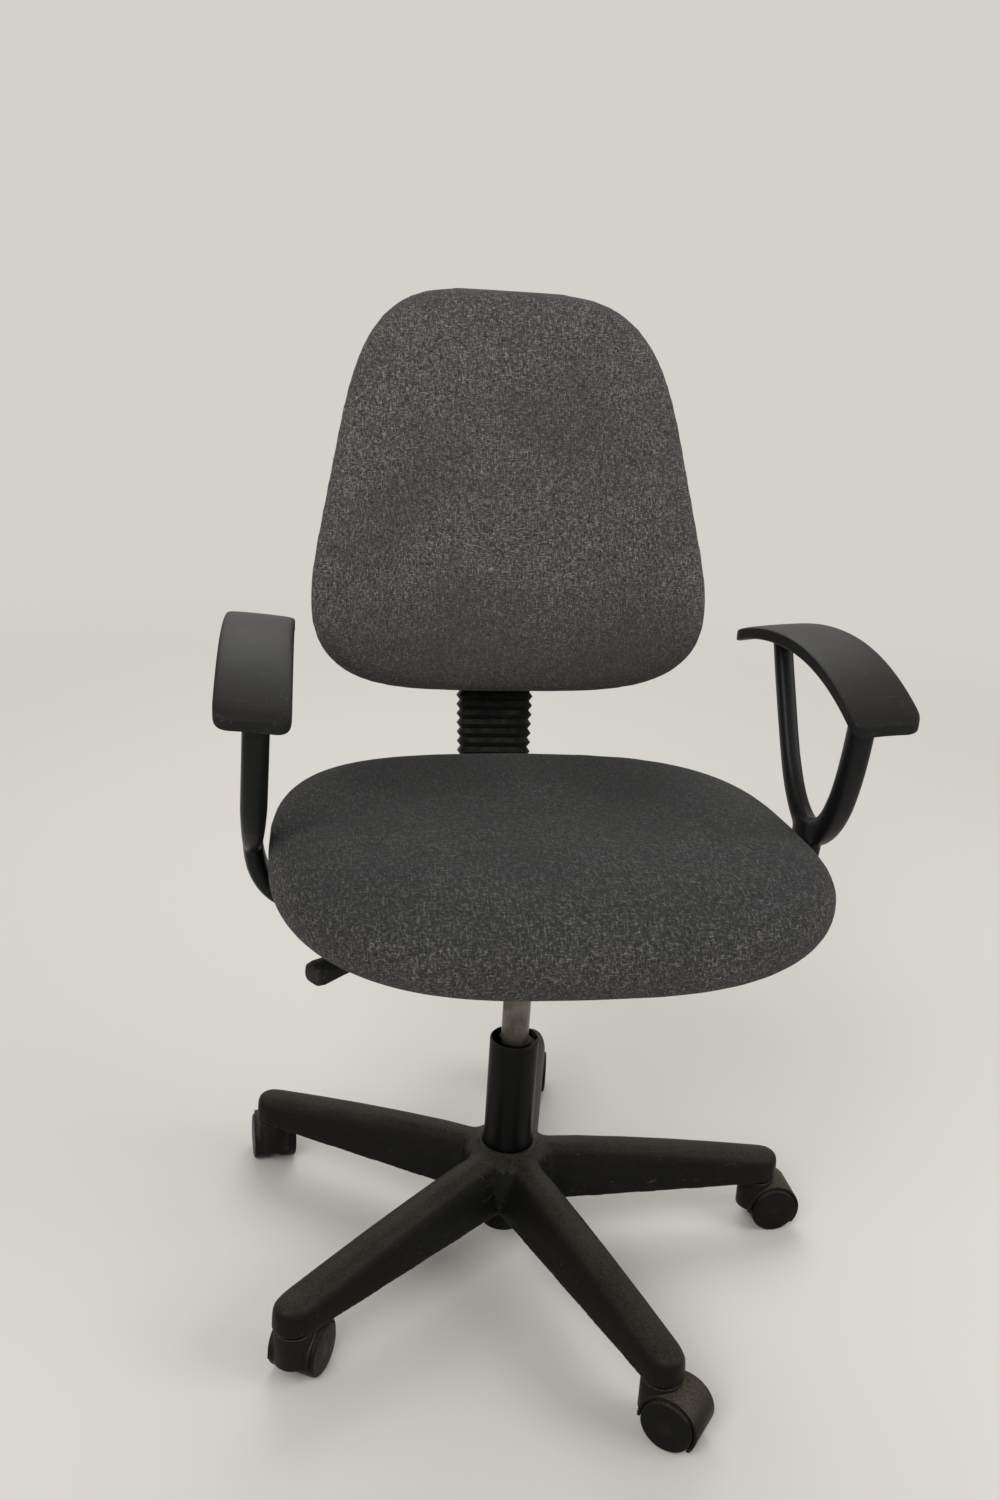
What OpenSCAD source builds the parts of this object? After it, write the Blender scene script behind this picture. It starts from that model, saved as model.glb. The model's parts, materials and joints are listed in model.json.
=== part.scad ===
// Swivel office chair: fabric seat and back, loop armrests, gas lift, five-legged base on twin-wheel casters.
// Frame: the floor is z = 0, the lift column stands on the Z axis, the sitter faces -Y and their left is +X.

/* [Casters] */
// Diameter of the caster wheels
wheel_d = 50; // [40:1:65]
// Overall width of a pair of wheels
wheel_pair_w = 48; // [40:1:60]
// Distance from the swivel axis back to the wheel axle
caster_trail = 17; // [15:1:24]
// Wall of the hood over the wheels
hood_wall = 2.4; // [1.8:0.1:3.5]
// Radial room between the wheels and the hood
hood_gap = 1.2; // [0.8:0.1:2.5]
// Thickness of the web between the two wheels
hood_web = 6.4; // [5:0.2:9]
// Outer diameter of the cup that turns under the leg
cup_d = 37; // [34:1:44]
// Rise of the cup's rim above the hood
cup_rise = 2.4; // [1:0.2:10]
// Diameter of the swivel stem
stem_d = 11; // [8:0.5:12]
// Length of stem inside the leg
stem_grip = 22; // [18:1:24]
// Diameter of the wheel axle
axle_d = 6; // [4:0.5:8]
// Directions in which the five casters trail, in degrees
caster_heading = [0, 78, 95, 60, 320];

/* [Base] */
// Radius of the circle through the five caster stems
stem_circle_r = 285; // [240:1:330]
// Turn of the base under the seat
base_turn = 2; // [0:1:71]
// Room between a caster's cup and the leg
cup_gap = 3.5; // [2:0.1:5]
// Height of a leg at its tip
leg_tip_h = 30.5; // [28:0.5:44]
// Width of a leg at its tip
leg_tip_w = 41; // [34:1:50]
// Height of a leg at the hub
leg_root_h = 55; // [48:1:66]
// Width of a leg at the hub
leg_root_w = 58; // [46:1:64]
// Drop of a leg's top from the hub to the tip
leg_fall = 33; // [15:1:50]
// Wall of the moulded legs and hub
base_wall = 4; // [3:0.2:6]
// Diameter of the hub
hub_d = 92; // [84:1:120]
// Height of the raised ring round the column
hub_ring_h = 4; // [2:0.5:8]

/* [Lift column] */
// Diameter of the column's outer tube
column_d = 50; // [46:1:56]
// Length of the outer tube
column_len = 218; // [200:1:240]
// Length of the outer tube that sits in the hub and below it
column_seat = 95; // [85:1:100]
// Wall of the outer tube
column_wall = 1.8; // [1.5:0.1:3]
// Diameter of the gas spring's pressure tube
tube_d = 28; // [26:0.5:30]
// Wall of the pressure tube
tube_wall = 1.5; // [1:0.1:2]
// Bare length of pressure tube between column and mechanism at rest
lift_show = 129; // [60:1:130]
// Travel left upwards from rest
lift_up = 5; // [2:1:40]
// Travel downwards from rest
lift_down = 115; // [40:1:116]
// Length of the plastic guide bush
bush_len = 72; // [50:1:76]
// Diameter of the piston rod
rod_d = 10; // [8:0.5:11]
// Diameter of the valve pin
pin_d = 4; // [3:0.2:5]

/* [Mechanism] */
// Width of the housing under the seat
housing_w = 96; // [86:1:110]
// Depth of the housing, front to back
housing_d = 160; // [150:1:170]
// Height of the housing
housing_h = 46; // [44:1:60]
// Sheet steel of the housing
housing_t = 2.5; // [2:0.1:4]
// Width of the plate bolted to the seat
plate_w = 190; // [170:1:196]
// Depth of the plate bolted to the seat
plate_d = 170; // [166:1:190]
// Thickness of the plate
plate_t = 3; // [2.5:0.1:5]
// Distance of the recline axle behind the column
recline_y = 72; // [66:1:76]
// Diameter of the recline axle
recline_axle_d = 10; // [8:0.5:12]
// Diameter of the lever rods
lever_d = 8; // [6:0.5:9]
// Reach of the height lever to the sitter's right
gas_reach = 212; // [200:1:230]
// Reach of the recline lever to the sitter's right
tilt_reach = 205; // [190:1:220]

/* [Seat] */
// Width of the seat
seat_w = 500; // [470:1:520]
// Depth of the seat
seat_d = 440; // [420:1:480]
// Distance of the seat's centre in front of the column
seat_forward = 60; // [40:1:70]
// Thickness of the upholstered seat
seat_thick = 77; // [65:1:90]
// Share by which the front is wider than the middle
seat_flare = 0.03; // [0:0.01:0.08]
// Drop of the seat's front edge
front_drop = 22; // [0:1:30]
// Depth of the two hollows that the sitter has worn
seat_dish = 9; // [0:1:16]
// Thickness of the plywood seat board
board_t = 12; // [9:0.5:15]
// Thickness of the dust cloth under the board
cloth_t = 0.6; // [0.4:0.1:1.2]

/* [Armrests] */
// Width of an arm pad
pad_w = 58; // [50:1:62]
// Length of an arm pad
pad_len = 286; // [250:1:300]
// Height of the pad's crest above the seat board
pad_rise = 246; // [230:1:265]
// Thickness of a pad at its rim
pad_t = 13; // [12:0.5:18]
// Sideways lean of the pads towards the sitter, in degrees
pad_lean = 5; // [0:1:8]
// How much wider the pads' middle lines are apart than the seat is wide
arm_over = 18; // [14:1:40]
// Thickness of a strut, seen from the front
strut_t = 23; // [18:0.5:26]
// Depth of a strut, seen from the side
strut_d = 20; // [16:0.5:24]
// Thickness of the foot under the seat
foot_t = 8; // [6:0.5:10]
// Width of the foot under the seat
foot_w = 46; // [40:1:56]

/* [Back] */
// Greatest half width of the back, before its outline narrows
back_half_w = 189; // [175:1:205]
// Height of the back
back_h = 420; // [400:1:445]
// Lean of the back from upright, in degrees
back_lean = 13; // [8:0.5:18]
// Radius of the back's hollow, seen from above
back_bow_r = 345; // [300:5:600]
// Thickness of the back cushion
back_thick = 46; // [38:1:56]
// Thickness of the panel behind the cushion
panel_t = 8; // [6:0.5:10]
// Wall of the rear shell
shell_wall = 3; // [2:0.2:4]
// Depth of the rear shell behind the cushion, at its middle
shell_deep = 38; // [36:1:46]
// Width of the steel bar that carries the back
bar_w = 60; // [50:1:66]
// Thickness of the bar
bar_t = 7.5; // [6:0.5:8.5]
// Travel of the back up and down from rest
back_travel = 35; // [20:1:40]
// Width of the rubber bellows
bellows_w = 86; // [82:1:92]
// Pitch of the bellows' folds
fold_pitch = 10; // [8:0.5:14]
// Diameter of the knob on the back
knob_d = 44; // [36:1:52]

/* [Hidden] */
$fn = 48;
run_gap = 0.05;      // radial clearance of a running shaft
press_gap = 0.05;    // radial clearance of parts pressed together
body_gap = 0.3;      // clearance between faces that move past each other
eps = 0.01;

leg_count = 5;

// Heights, from the floor up
axle_z = wheel_d / 2;
hood_r = wheel_d / 2 + hood_gap + hood_wall;
cup_top_z = axle_z + hood_r + cup_rise;
leg_under_z = cup_top_z + cup_gap;
leg_top_tip_z = leg_under_z + leg_tip_h;
hub_top_z = leg_top_tip_z + leg_fall;
hub_under_z = hub_top_z - leg_root_h;
column_z0 = hub_top_z - column_seat;
column_top_z = column_z0 + column_len;
socket_z0 = column_top_z + lift_show;
socket_drop = 7;
housing_z0 = socket_z0 + socket_drop;
plate_z0 = housing_z0 + housing_h;
cloth_z0 = plate_z0 + plate_t;
board_z0 = cloth_z0 + cloth_t;
board_top_z = board_z0 + board_t;
seat_z0 = board_z0 + 1.5;

// Names of the sub-parts
singles = [
  "star_base", "column_tube", "guide_bush", "thrust_bearing",
  "piston_rod", "bump_stop", "column_clip",
  "pressure_tube", "valve_pin", "mechanism_housing", "mechanism_plate", "recline_axle", "recline_spring",
  "gas_lever", "gas_paddle", "recline_lever", "recline_paddle",
  "seat_board", "seat_cushion", "dust_cloth", "seat_bolts",
  "arm_frame_left", "arm_frame_right", "arm_pad_left", "arm_pad_right", "arm_bolts", "pad_screws",
  "back_bar", "bellows", "slide_bracket", "back_panel", "back_cushion", "back_shell", "back_screws",
  "height_knob"
];
caster_parts = ["caster_stem", "caster_hood", "caster_axle", "caster_wheel_left", "caster_wheel_right"];

// ---------- shared geometry ----------

function mix(a, b, t) = a + (b - a) * t;
function signed_power(v, p) = sign(v) * pow(abs(v), p);
// Point at angle t of a superellipse with half axes a and b and exponent n
function super_point(a, b, n, t) = [a * signed_power(cos(t), 2 / n), b * signed_power(sin(t), 2 / n)];
function mean_point(ring) =
  let (share = 1 / len(ring))
  [for (axis = [0:2]) [for (p = ring) p[axis]] * [for (p = ring) share]];
function bump(distance, spread) = exp(-pow(distance / spread, 2));

// Closed skin over rings of points; each ring runs anticlockwise seen from the last ring.
// Flipped lofts fold their four-cornered faces along the other diagonal, to lie flush on an unflipped one.
module loft(rings, flip = false) {
  n = len(rings[0]);
  last = len(rings) - 1;
  points = concat([for (r = rings) for (p = r) p], [mean_point(rings[0]), mean_point(rings[last])]);
  start_hub = n * (last + 1);
  walls = [for (i = [0:last - 1]) for (j = [0:n - 1]) for (half = [0:1])
    let (k = (j + 1) % n, low = i * n, high = low + n)
    flip
      ? (half == 0 ? [low + j, high + j, low + k] : [high + j, high + k, low + k])
      : (half == 0 ? [low + j, high + j, high + k] : [low + j, high + k, low + k])];
  start_cap = [for (j = [0:n - 1]) [start_hub, j, (j + 1) % n]];
  end_cap = [for (j = [0:n - 1]) [start_hub + 1, last * n + (j + 1) % n, last * n + j]];
  polyhedron(points = points, faces = concat(walls, start_cap, end_cap));
}

// Round bar through a list of points. The ball at each corner is large enough to hold the whole joint of a
// sixty degree bend.
knuckle = 1.16;

module bar_through(points, d) {
  last = len(points) - 1;
  for (i = [0:last - 1]) {
    step = points[i + 1] - points[i];
    reach = norm(step);
    translate(points[i])
      rotate([0, acos(step.z / reach), atan2(step.y, step.x)])
        cylinder(d = d, h = reach);
  }
  if (last > 1) for (i = [1:last - 1])
    corner_ball(points[i], unit(points[i] - points[i - 1]), unit(points[i + 1] - points[i]), d * knuckle);
}

// Ball turned so that its seam and its poles lie on the outside of the bend, away from both bars
module corner_ball(place, arriving, leaving, d) {
  outer = unit(arriving - leaving);
  pole = unit(cross(arriving, leaving));
  third = cross(pole, outer);
  translate(place) multmatrix([
    [outer.x, third.x, pole.x, 0],
    [outer.y, third.y, pole.y, 0],
    [outer.z, third.z, pole.z, 0]
  ]) sphere(d = d);
}

// Rectangle with round corners, centred
module round_rect(w, d, r) {
  square([w - 2 * r, d], center = true);
  square([w, d - 2 * r], center = true);
  for (x = [-1, 1]) for (y = [-1, 1]) translate([x * (w / 2 - r), y * (d / 2 - r)]) circle(r);
}

// Ring cut from a cylinder
module tube(d_out, d_in, h) {
  difference() {
    cylinder(d = d_out, h = h);
    translate([0, 0, -1]) cylinder(d = d_in, h = h + 2);
  }
}

// Children at the left, and mirrored at the right
module at_side(side) {
  if (side > 0) children();
  else mirror([1, 0, 0]) children();
}

// ---------- casters ----------
// Modelled with the swivel axis on Z, the axle behind it at +X, then turned into place.

web_face = hood_web / 2;
wheel_in = web_face + body_gap;
wheel_out = wheel_pair_w / 2;
hood_half = wheel_out - 3.5;
chamber_r = wheel_d / 2 + hood_gap;
stem_z0 = axle_z + sqrt(pow(chamber_r, 2) - pow(caster_trail - stem_d / 2 - 1, 2)) + 1;
stem_boss_d = stem_d + 6;

module at_caster(k) {
  angle = base_turn + 360 / leg_count * (k - 1);
  translate([stem_circle_r * cos(angle), stem_circle_r * sin(angle), 0])
    rotate([0, 0, caster_heading[k - 1]])
      children();
}

module on_axle() {
  translate([caster_trail, 0, axle_z]) rotate([90, 0, 0]) children();
}

module caster_stem() {
  groove = 1.2;
  color("silver") difference() {
    union() {
      translate([0, 0, stem_z0 + press_gap]) cylinder(d = stem_d, h = leg_under_z + stem_grip - stem_z0 - 2);
      translate([0, 0, leg_under_z + stem_grip - 2]) cylinder(d1 = stem_d, d2 = stem_d - 3, h = 1.5);
      translate([0, 0, cup_top_z - 3]) cylinder(d = stem_boss_d, h = 2.4 + cup_gap);
    }
    translate([0, 0, leg_under_z + stem_grip - 8]) tube(stem_d + 2, stem_d - groove, 2.5);
  }
}

module hood_outside() {
  front_h = cup_top_z - axle_z * 0.9;
  intersection() {
    union() {
      on_axle() cylinder(r = hood_r, h = 2 * hood_half, center = true, $fn = 96);
      translate([0, 0, cup_top_z - front_h]) cylinder(d = cup_d, h = front_h);
    }
    translate([-cup_d, -cup_d, wheel_d * 0.16]) cube([3 * cup_d, 2 * cup_d, 2 * wheel_d]);
  }
}

module caster_hood() {
  color("#2b2a28") difference() {
    hood_outside();
    for (s = [-1, 1]) on_axle() translate([0, 0, s * (web_face + wheel_out)])
      cylinder(r = chamber_r, h = 2 * wheel_out, center = true, $fn = 96);
    // open mouth below the wheels' front, under the cup
    translate([-cup_d / 2 - 1, -cup_d, 0]) cube([caster_trail + cup_d / 2, 2 * cup_d, axle_z * 0.9]);
    // rim recess round the stem boss
    translate([0, 0, cup_top_z - 5]) tube(cup_d - 2 * hood_wall, stem_boss_d + 5, 6);
    translate([0, 0, cup_top_z - 3 - press_gap]) cylinder(d = stem_boss_d + 2 * press_gap, h = 6);
    translate([0, 0, stem_z0]) cylinder(d = stem_d + 2 * press_gap, h = wheel_d);
    on_axle() cylinder(d = axle_d + 2 * press_gap, h = hood_web + 2, center = true);
  }
}

module caster_axle() {
  color("silver") on_axle() cylinder(d = axle_d, h = 2 * (wheel_out - 5), center = true);
}

module caster_wheel(side) {
  rim = wheel_d / 2;
  hub = axle_d / 2 + 4;
  hollow = wheel_out - 8;
  bore_end = wheel_out - 5 + body_gap;
  color("#232323") on_axle() rotate([side > 0 ? 180 : 0, 0, 0])
    rotate_extrude($fn = 96) polygon([
      [axle_d / 2 + run_gap, wheel_in], [hub, wheel_in], [hub, hollow], [rim - 4.5, hollow],
      [rim - 4.5, wheel_in + 1.5], [rim - 1, wheel_in + 1.5], [rim, wheel_in + 2.5],
      [rim, wheel_out - 3.2], [rim - 0.5, wheel_out - 1.6], [rim - 1.8, wheel_out - 0.7],
      [rim - 4, wheel_out - 0.5], [rim * 0.4, wheel_out - 0.1], [0, wheel_out],
      [0, bore_end], [axle_d / 2 + run_gap, bore_end]
    ]);
}

// ---------- star base ----------

leg_root_r = hub_d / 2;
leg_end_r = leg_tip_w / 2;
socket_taper = 0.025;
rib_t = 2.6;
column_foot_d = column_d - 2 * socket_taper * column_seat;

function leg_share(r) = min(1, max(0, (r - leg_root_r) / (stem_circle_r - leg_root_r)));
function leg_top(r) = mix(hub_top_z, leg_top_tip_z, leg_share(r)) + 2.5 * sin(180 * leg_share(r));
function leg_under(r) = mix(hub_under_z, leg_under_z, leg_share(r));
// Side outline of half a leg, as shares of height and half width, at the hub and at the tip
root_flank = [[0, 1], [0.14, 0.98], [0.42, 0.82], [0.70, 0.63], [0.88, 0.49], [0.97, 0.33], [1, 0.12]];
tip_flank = [[0, 1], [0.16, 1], [0.45, 0.97], [0.70, 0.89], [0.88, 0.72], [0.97, 0.48], [1, 0.16]];

// One cross-section of a leg; narrow is its share of width and sink lowers its top
function leg_ring(r, narrow, sink, wall) =
  let (
    share = leg_share(r),
    half_w = max(0.6, mix(leg_root_w, leg_tip_w, share) / 2 * narrow - wall),
    z_low = leg_under(r) - (wall > 0 ? 1 : 0),
    z_high = leg_top(r) - sink - wall,
    half = [for (i = [0:len(root_flank) - 1])
      let (s = mix(root_flank[i], tip_flank[i], share)) [half_w * s[1], mix(z_low, z_high, s[0])]]
  )
  concat(
    [for (i = [0:len(half) - 1]) [r, half[i][0], half[i][1]]],
    [for (i = [len(half) - 1:-1:0]) [r, -half[i][0], half[i][1]]]
  );

module leg_outside() {
  straight = [for (i = [0:5]) leg_ring(mix(24, stem_circle_r, i / 5), 1, 0, 0)];
  round_end = [for (a = [35, 62, 80, 90])
    let (sink = leg_tip_h * 0.34 * pow(1 - cos(a), 1.3))
    leg_ring(stem_circle_r + leg_end_r * sin(a), max(0.08, cos(a)), sink, 0)];
  loft(concat(straight, round_end));
}

module leg_hollow(wall) {
  inner_end = stem_circle_r - leg_end_r * 0.2;
  loft([for (i = [0:3]) leg_ring(mix(column_d / 2 + 5, inner_end, i / 3), 1, 0, wall)]);
}

module leg_ribs() {
  intersection() {
    leg_hollow(base_wall * 0.75);
    union() {
      for (i = [1:4]) translate([mix(leg_root_r, stem_circle_r, i / 5), 0, hub_top_z])
        cube([rib_t, leg_root_w, 2 * (hub_top_z - leg_under_z - 13)], center = true);
      translate([stem_circle_r / 2, 0, hub_top_z])
        cube([stem_circle_r, rib_t, 2 * (leg_root_h - 15)], center = true);
    }
  }
}

// Revolved skin of the hub between the legs
module hub_outside() {
  r = hub_d / 2;
  ring_r = column_d / 2 + 6.5;
  rotate_extrude($fn = 96) polygon([
    [0, hub_under_z], [r + 5, hub_under_z], [r + 2, mix(hub_under_z, hub_top_z, 0.6)],
    [r - 2, hub_top_z - 7], [r - 6, hub_top_z - 2], [r - 10, hub_top_z], [ring_r + 2, hub_top_z],
    [ring_r + 1, hub_top_z - 1.5], [ring_r, hub_top_z - 1.5], [ring_r, hub_top_z + hub_ring_h - 1],
    [ring_r - 1, hub_top_z + hub_ring_h], [0, hub_top_z + hub_ring_h]
  ]);
}

module column_bore(extra) {
  below = 30;
  translate([0, 0, hub_top_z - column_seat - below])
    cylinder(d1 = column_foot_d - 2 * socket_taper * below + 2 * extra,
      d2 = column_d + 2 * extra,
      h = column_seat + below, $fn = 96);
  translate([0, 0, hub_top_z - eps]) cylinder(d = column_d + 2 * extra, h = 20, $fn = 96);
}

module star_base() {
  color("#35322e") difference() {
    union() {
      difference() {
        union() {
          hub_outside();
          for (k = [0:leg_count - 1]) rotate([0, 0, base_turn + k * 360 / leg_count]) leg_outside();
        }
        translate([0, 0, hub_under_z - 1]) cylinder(d = hub_d - 2 * base_wall, h = leg_root_h - 9);
        for (k = [0:leg_count - 1]) rotate([0, 0, base_turn + k * 360 / leg_count]) leg_hollow(base_wall);
      }
      translate([0, 0, hub_under_z]) cylinder(d = column_d + 2 * base_wall + 4, h = leg_root_h - 4);
      for (k = [0:leg_count - 1]) rotate([0, 0, base_turn + k * 360 / leg_count]) {
        leg_ribs();
        translate([stem_circle_r, 0, leg_under_z]) cylinder(d = stem_d + 12, h = leg_tip_h - 3);
      }
    }
    column_bore(press_gap);
    for (k = [0:leg_count - 1]) rotate([0, 0, base_turn + k * 360 / leg_count])
      translate([stem_circle_r, 0, leg_under_z - 1]) cylinder(d = stem_d + 2 * run_gap, h = stem_grip + 2);
  }
}

// ---------- lift column ----------

foot_plate_t = 4;
bush_d = column_d - 2 * column_wall - 2 * press_gap;
clip_t = 1;
clip_d = rod_d + 6;
bearing_h = 4;
bearing_z0 = column_z0 + foot_plate_t;
bump_h = 12;
bump_z0 = bearing_z0 + bearing_h + body_gap;
tube_guide_h = 14;
tube_z0 = column_top_z - bush_len - 8;
piston_z0 = tube_z0 + tube_guide_h + lift_up + 1;
piston_h = 10;
tube_top_z = housing_z0 + 28;
tube_cap_h = 10;

module column_tube() {
  r = column_d / 2;
  foot_r = column_foot_d / 2;
  color("#151515") rotate_extrude($fn = 96) polygon([
    [rod_d / 2 + 0.4, column_z0], [foot_r - 1, column_z0], [foot_r, column_z0 + 1], [r, hub_top_z],
    [r, column_top_z - 1.2], [r - 1.2, column_top_z], [r - column_wall, column_top_z],
    [r - column_wall, hub_top_z], [foot_r - column_wall, column_z0 + foot_plate_t],
    [rod_d / 2 + 0.4, column_z0 + foot_plate_t]
  ]);
}

module guide_bush() {
  recess = 3;
  notch_w = 5;
  top = column_top_z - 1.5;
  color("#2a2a2a") difference() {
    translate([0, 0, top - bush_len]) cylinder(d = bush_d, h = bush_len, $fn = 96);
    translate([0, 0, top - bush_len - 1]) cylinder(d = tube_d + 2 * run_gap, h = bush_len + 2, $fn = 96);
    translate([0, 0, top - recess]) tube(bush_d - 3, tube_d + 5, recess + 1);
    for (a = [0:60:300]) rotate([0, 0, a]) translate([bush_d / 2, 0, top])
      cube([notch_w, notch_w, 2 * recess], center = true);
  }
}

module thrust_bearing() {
  washer = 1;
  r = clip_d / 2 + 2.5;
  color("silver") translate([0, 0, bearing_z0]) {
    tube(2 * r, rod_d + 1, washer);
    translate([0, 0, bearing_h - washer]) tube(2 * r, rod_d + 1, washer);
    translate([0, 0, washer - 0.2]) tube(2 * r - 3, rod_d + 2.5, bearing_h - 2 * washer + 0.4);
  }
}

module piston_rod() {
  neck_z = column_z0 - body_gap - clip_t;
  color("silver") {
    difference() {
      translate([0, 0, neck_z - 2]) cylinder(d = rod_d, h = piston_z0 + eps - neck_z + 2);
      translate([0, 0, neck_z]) tube(rod_d + 2, rod_d - 2, clip_t);
    }
    translate([0, 0, piston_z0]) cylinder(d = tube_d - 2 * tube_wall - 2 * run_gap, h = piston_h);
  }
}

module bump_stop() {
  color("#1c1c1c") translate([0, 0, bump_z0]) difference() {
    union() {
      cylinder(d = tube_d - 6, h = bump_h / 2);
      translate([0, 0, bump_h / 2]) cylinder(d1 = tube_d - 6, d2 = tube_d - 10, h = bump_h / 2);
    }
    translate([0, 0, -1]) cylinder(d = rod_d + 2 * press_gap, h = bump_h + 2);
  }
}

module column_clip() {
  color("silver") translate([0, 0, column_z0 - body_gap - clip_t]) difference() {
    cylinder(d = clip_d, h = clip_t);
    translate([0, 0, -1]) cylinder(d = rod_d - 2 + 2 * press_gap, h = clip_t + 2);
    translate([clip_d / 2, 0, clip_t / 2]) cube([clip_d, rod_d - 4, clip_t + 2], center = true);
  }
}

module pressure_tube() {
  r = tube_d / 2;
  inner = r - tube_wall;
  cone_end = r - socket_taper * (tube_top_z - socket_z0);
  color("#8d8a86") rotate_extrude($fn = 96) polygon([
    [rod_d / 2 + run_gap, tube_z0], [r - 1, tube_z0], [r, tube_z0 + 1], [r, socket_z0],
    [cone_end, tube_top_z - 1], [cone_end - 1, tube_top_z], [pin_d / 2 + run_gap, tube_top_z],
    [pin_d / 2 + run_gap, tube_top_z - tube_cap_h], [inner - 1, tube_top_z - tube_cap_h],
    [inner, tube_top_z - tube_cap_h - 12], [inner, tube_z0 + tube_guide_h],
    [rod_d / 2 + run_gap, tube_z0 + tube_guide_h]
  ]);
}

// ---------- mechanism ----------

pin_rise = 4.5;
lever_gap = 0.3;
gas_rod_z = tube_top_z + pin_rise + lever_gap + lever_d / 2;
lever_pivot_x = -(housing_w / 2 - 9);
lever_pin_d = 3;
recline_rod_z = housing_z0 + 27;
recline_lever_y = 46;
recline_z = housing_z0 + 18;
housing_y0 = -housing_d / 2;
housing_wall_x = housing_w / 2;

module valve_pin() {
  collar = 2;
  below_cap = 6;
  foot = tube_top_z - tube_cap_h - collar - below_cap;
  color("silver") translate([0, 0, foot]) {
    cylinder(d = pin_d, h = tube_top_z + pin_rise - foot);
    cylinder(d = pin_d + 3, h = collar);
  }
}

// Bent sheet channel, open at the top, drawn across the chair and run from front to back
module channel_profile() {
  bend = 6;
  difference() {
    union() {
      translate([-housing_wall_x, bend]) square([2 * housing_wall_x, housing_h - bend]);
      translate([-housing_wall_x + bend, 0]) square([2 * (housing_wall_x - bend), bend + eps]);
      for (s = [-1, 1]) translate([s * (housing_wall_x - bend), bend]) circle(bend);
    }
    translate([-housing_wall_x + housing_t, bend]) square([2 * (housing_wall_x - housing_t), housing_h]);
    translate([-housing_wall_x + bend, housing_t]) square([2 * (housing_wall_x - bend), bend]);
    for (s = [-1, 1]) translate([s * (housing_wall_x - bend), bend]) circle(bend - housing_t);
  }
}

module lever_ears(y, z) {
  ear = 3;
  for (s = [-1, 1]) translate([-housing_wall_x + eps, y + s * (lever_d / 2 + 2.5) - ear / 2, z - 6])
    cube([lever_pivot_x + housing_wall_x + 5, ear, 12]);
}

module lever_slot(y, z) {
  translate([-housing_wall_x, y, z]) cube([4 * housing_t, lever_d + 3, lever_d + 6], center = true);
}

module mechanism_housing() {
  socket_d = tube_d + 10;
  color("#1b1b1b") difference() {
    union() {
      translate([0, housing_y0 + housing_d, housing_z0]) rotate([90, 0, 0])
        linear_extrude(housing_d) channel_profile();
      // front wall
      translate([-housing_wall_x + housing_t, housing_y0, housing_z0 + housing_t])
        cube([2 * (housing_wall_x - housing_t), housing_t, housing_h - housing_t]);
      // tapered socket for the gas spring
      translate([0, 0, socket_z0]) cylinder(d = socket_d, h = tube_top_z - socket_z0 - 6);
      // pressed stiffening ribs along the side walls
      for (s = [-1, 1]) translate([s * housing_wall_x, housing_y0 + 20, housing_z0 + 12])
        rotate([-90, 0, 0]) cylinder(d = 5, h = housing_d * 0.5);
      // bosses for the recline axle
      for (s = [-1, 1]) translate([s * (housing_wall_x + 1), recline_y, recline_z])
        rotate([0, 90, 0]) cylinder(d = recline_axle_d + 12, h = 5, center = true);
      lever_ears(0, gas_rod_z);
      lever_ears(recline_lever_y, recline_rod_z);
    }
    translate([0, 0, socket_z0 - 1]) cylinder(
      d1 = tube_d + 2 * press_gap + 2 * socket_taper,
      d2 = tube_d + 2 * press_gap - 2 * socket_taper * (tube_top_z - socket_z0),
      h = tube_top_z - socket_z0 + 1);
    translate([0, recline_y, recline_z]) rotate([0, 90, 0])
      cylinder(d = recline_axle_d + 2 * press_gap, h = 2 * housing_w, center = true);
    lever_slot(0, gas_rod_z);
    lever_slot(recline_lever_y, recline_rod_z);
    translate([lever_pivot_x, 0, gas_rod_z]) rotate([90, 0, 0])
      cylinder(d = lever_pin_d + 2 * run_gap, h = 2 * lever_d + 12, center = true, $fn = 32);
    translate([lever_pivot_x, recline_lever_y, recline_rod_z]) rotate([90, 0, 0])
      cylinder(d = lever_pin_d + 2 * run_gap, h = 2 * lever_d + 12, center = true, $fn = 32);
    // openings in the bottom, in front of and behind the socket
    for (y = [-50, 38]) translate([0, y, housing_z0])
      linear_extrude(3 * housing_t, center = true) round_rect(40, 22, 8);
  }
}

plate_bolt_x = plate_w / 2 - 20;
plate_bolt_y = plate_d / 2 - 22;
bolt_d = 6;
bolt_hole_d = 6.6;

module plate_bolt_spots() {
  for (x = [-1, 1]) for (y = [-1, 1]) translate([x * plate_bolt_x, y * plate_bolt_y, 0]) children();
}

module mechanism_plate() {
  color("#1b1b1b") translate([0, 0, plate_z0]) linear_extrude(plate_t) difference() {
    round_rect(plate_w, plate_d, 14);
    plate_bolt_spots() circle(d = bolt_hole_d);
    for (x = [-1, 1]) translate([x * plate_bolt_x, 0]) round_rect(14, 50, 6);
  }
}

module recline_axle() {
  head_t = 3;
  half = housing_wall_x + 3.5;
  color("silver") translate([0, recline_y, recline_z]) rotate([0, 90, 0]) {
    cylinder(d = recline_axle_d, h = 2 * half + 4, center = true);
    translate([0, 0, half + press_gap]) cylinder(d = recline_axle_d + 6, h = head_t);
  }
}

eye_w = 50;
spring_wire = 3;

module recline_spring() {
  start = eye_w / 2 + 1;
  pitch = spring_wire * 0.95;
  coil_r = recline_axle_d / 2 + spring_wire / 2 + press_gap;
  coils = floor((housing_wall_x - housing_t - 3 - start) / pitch);
  color("dimgray") for (s = [-1, 1]) translate([0, recline_y, recline_z]) rotate([0, 90, 0])
    for (i = [0:coils - 1]) translate([0, 0, s * (start + spring_wire / 2 + i * pitch)])
      rotate_extrude() translate([coil_r, 0]) circle(d = spring_wire, $fn = 24);
}

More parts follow.
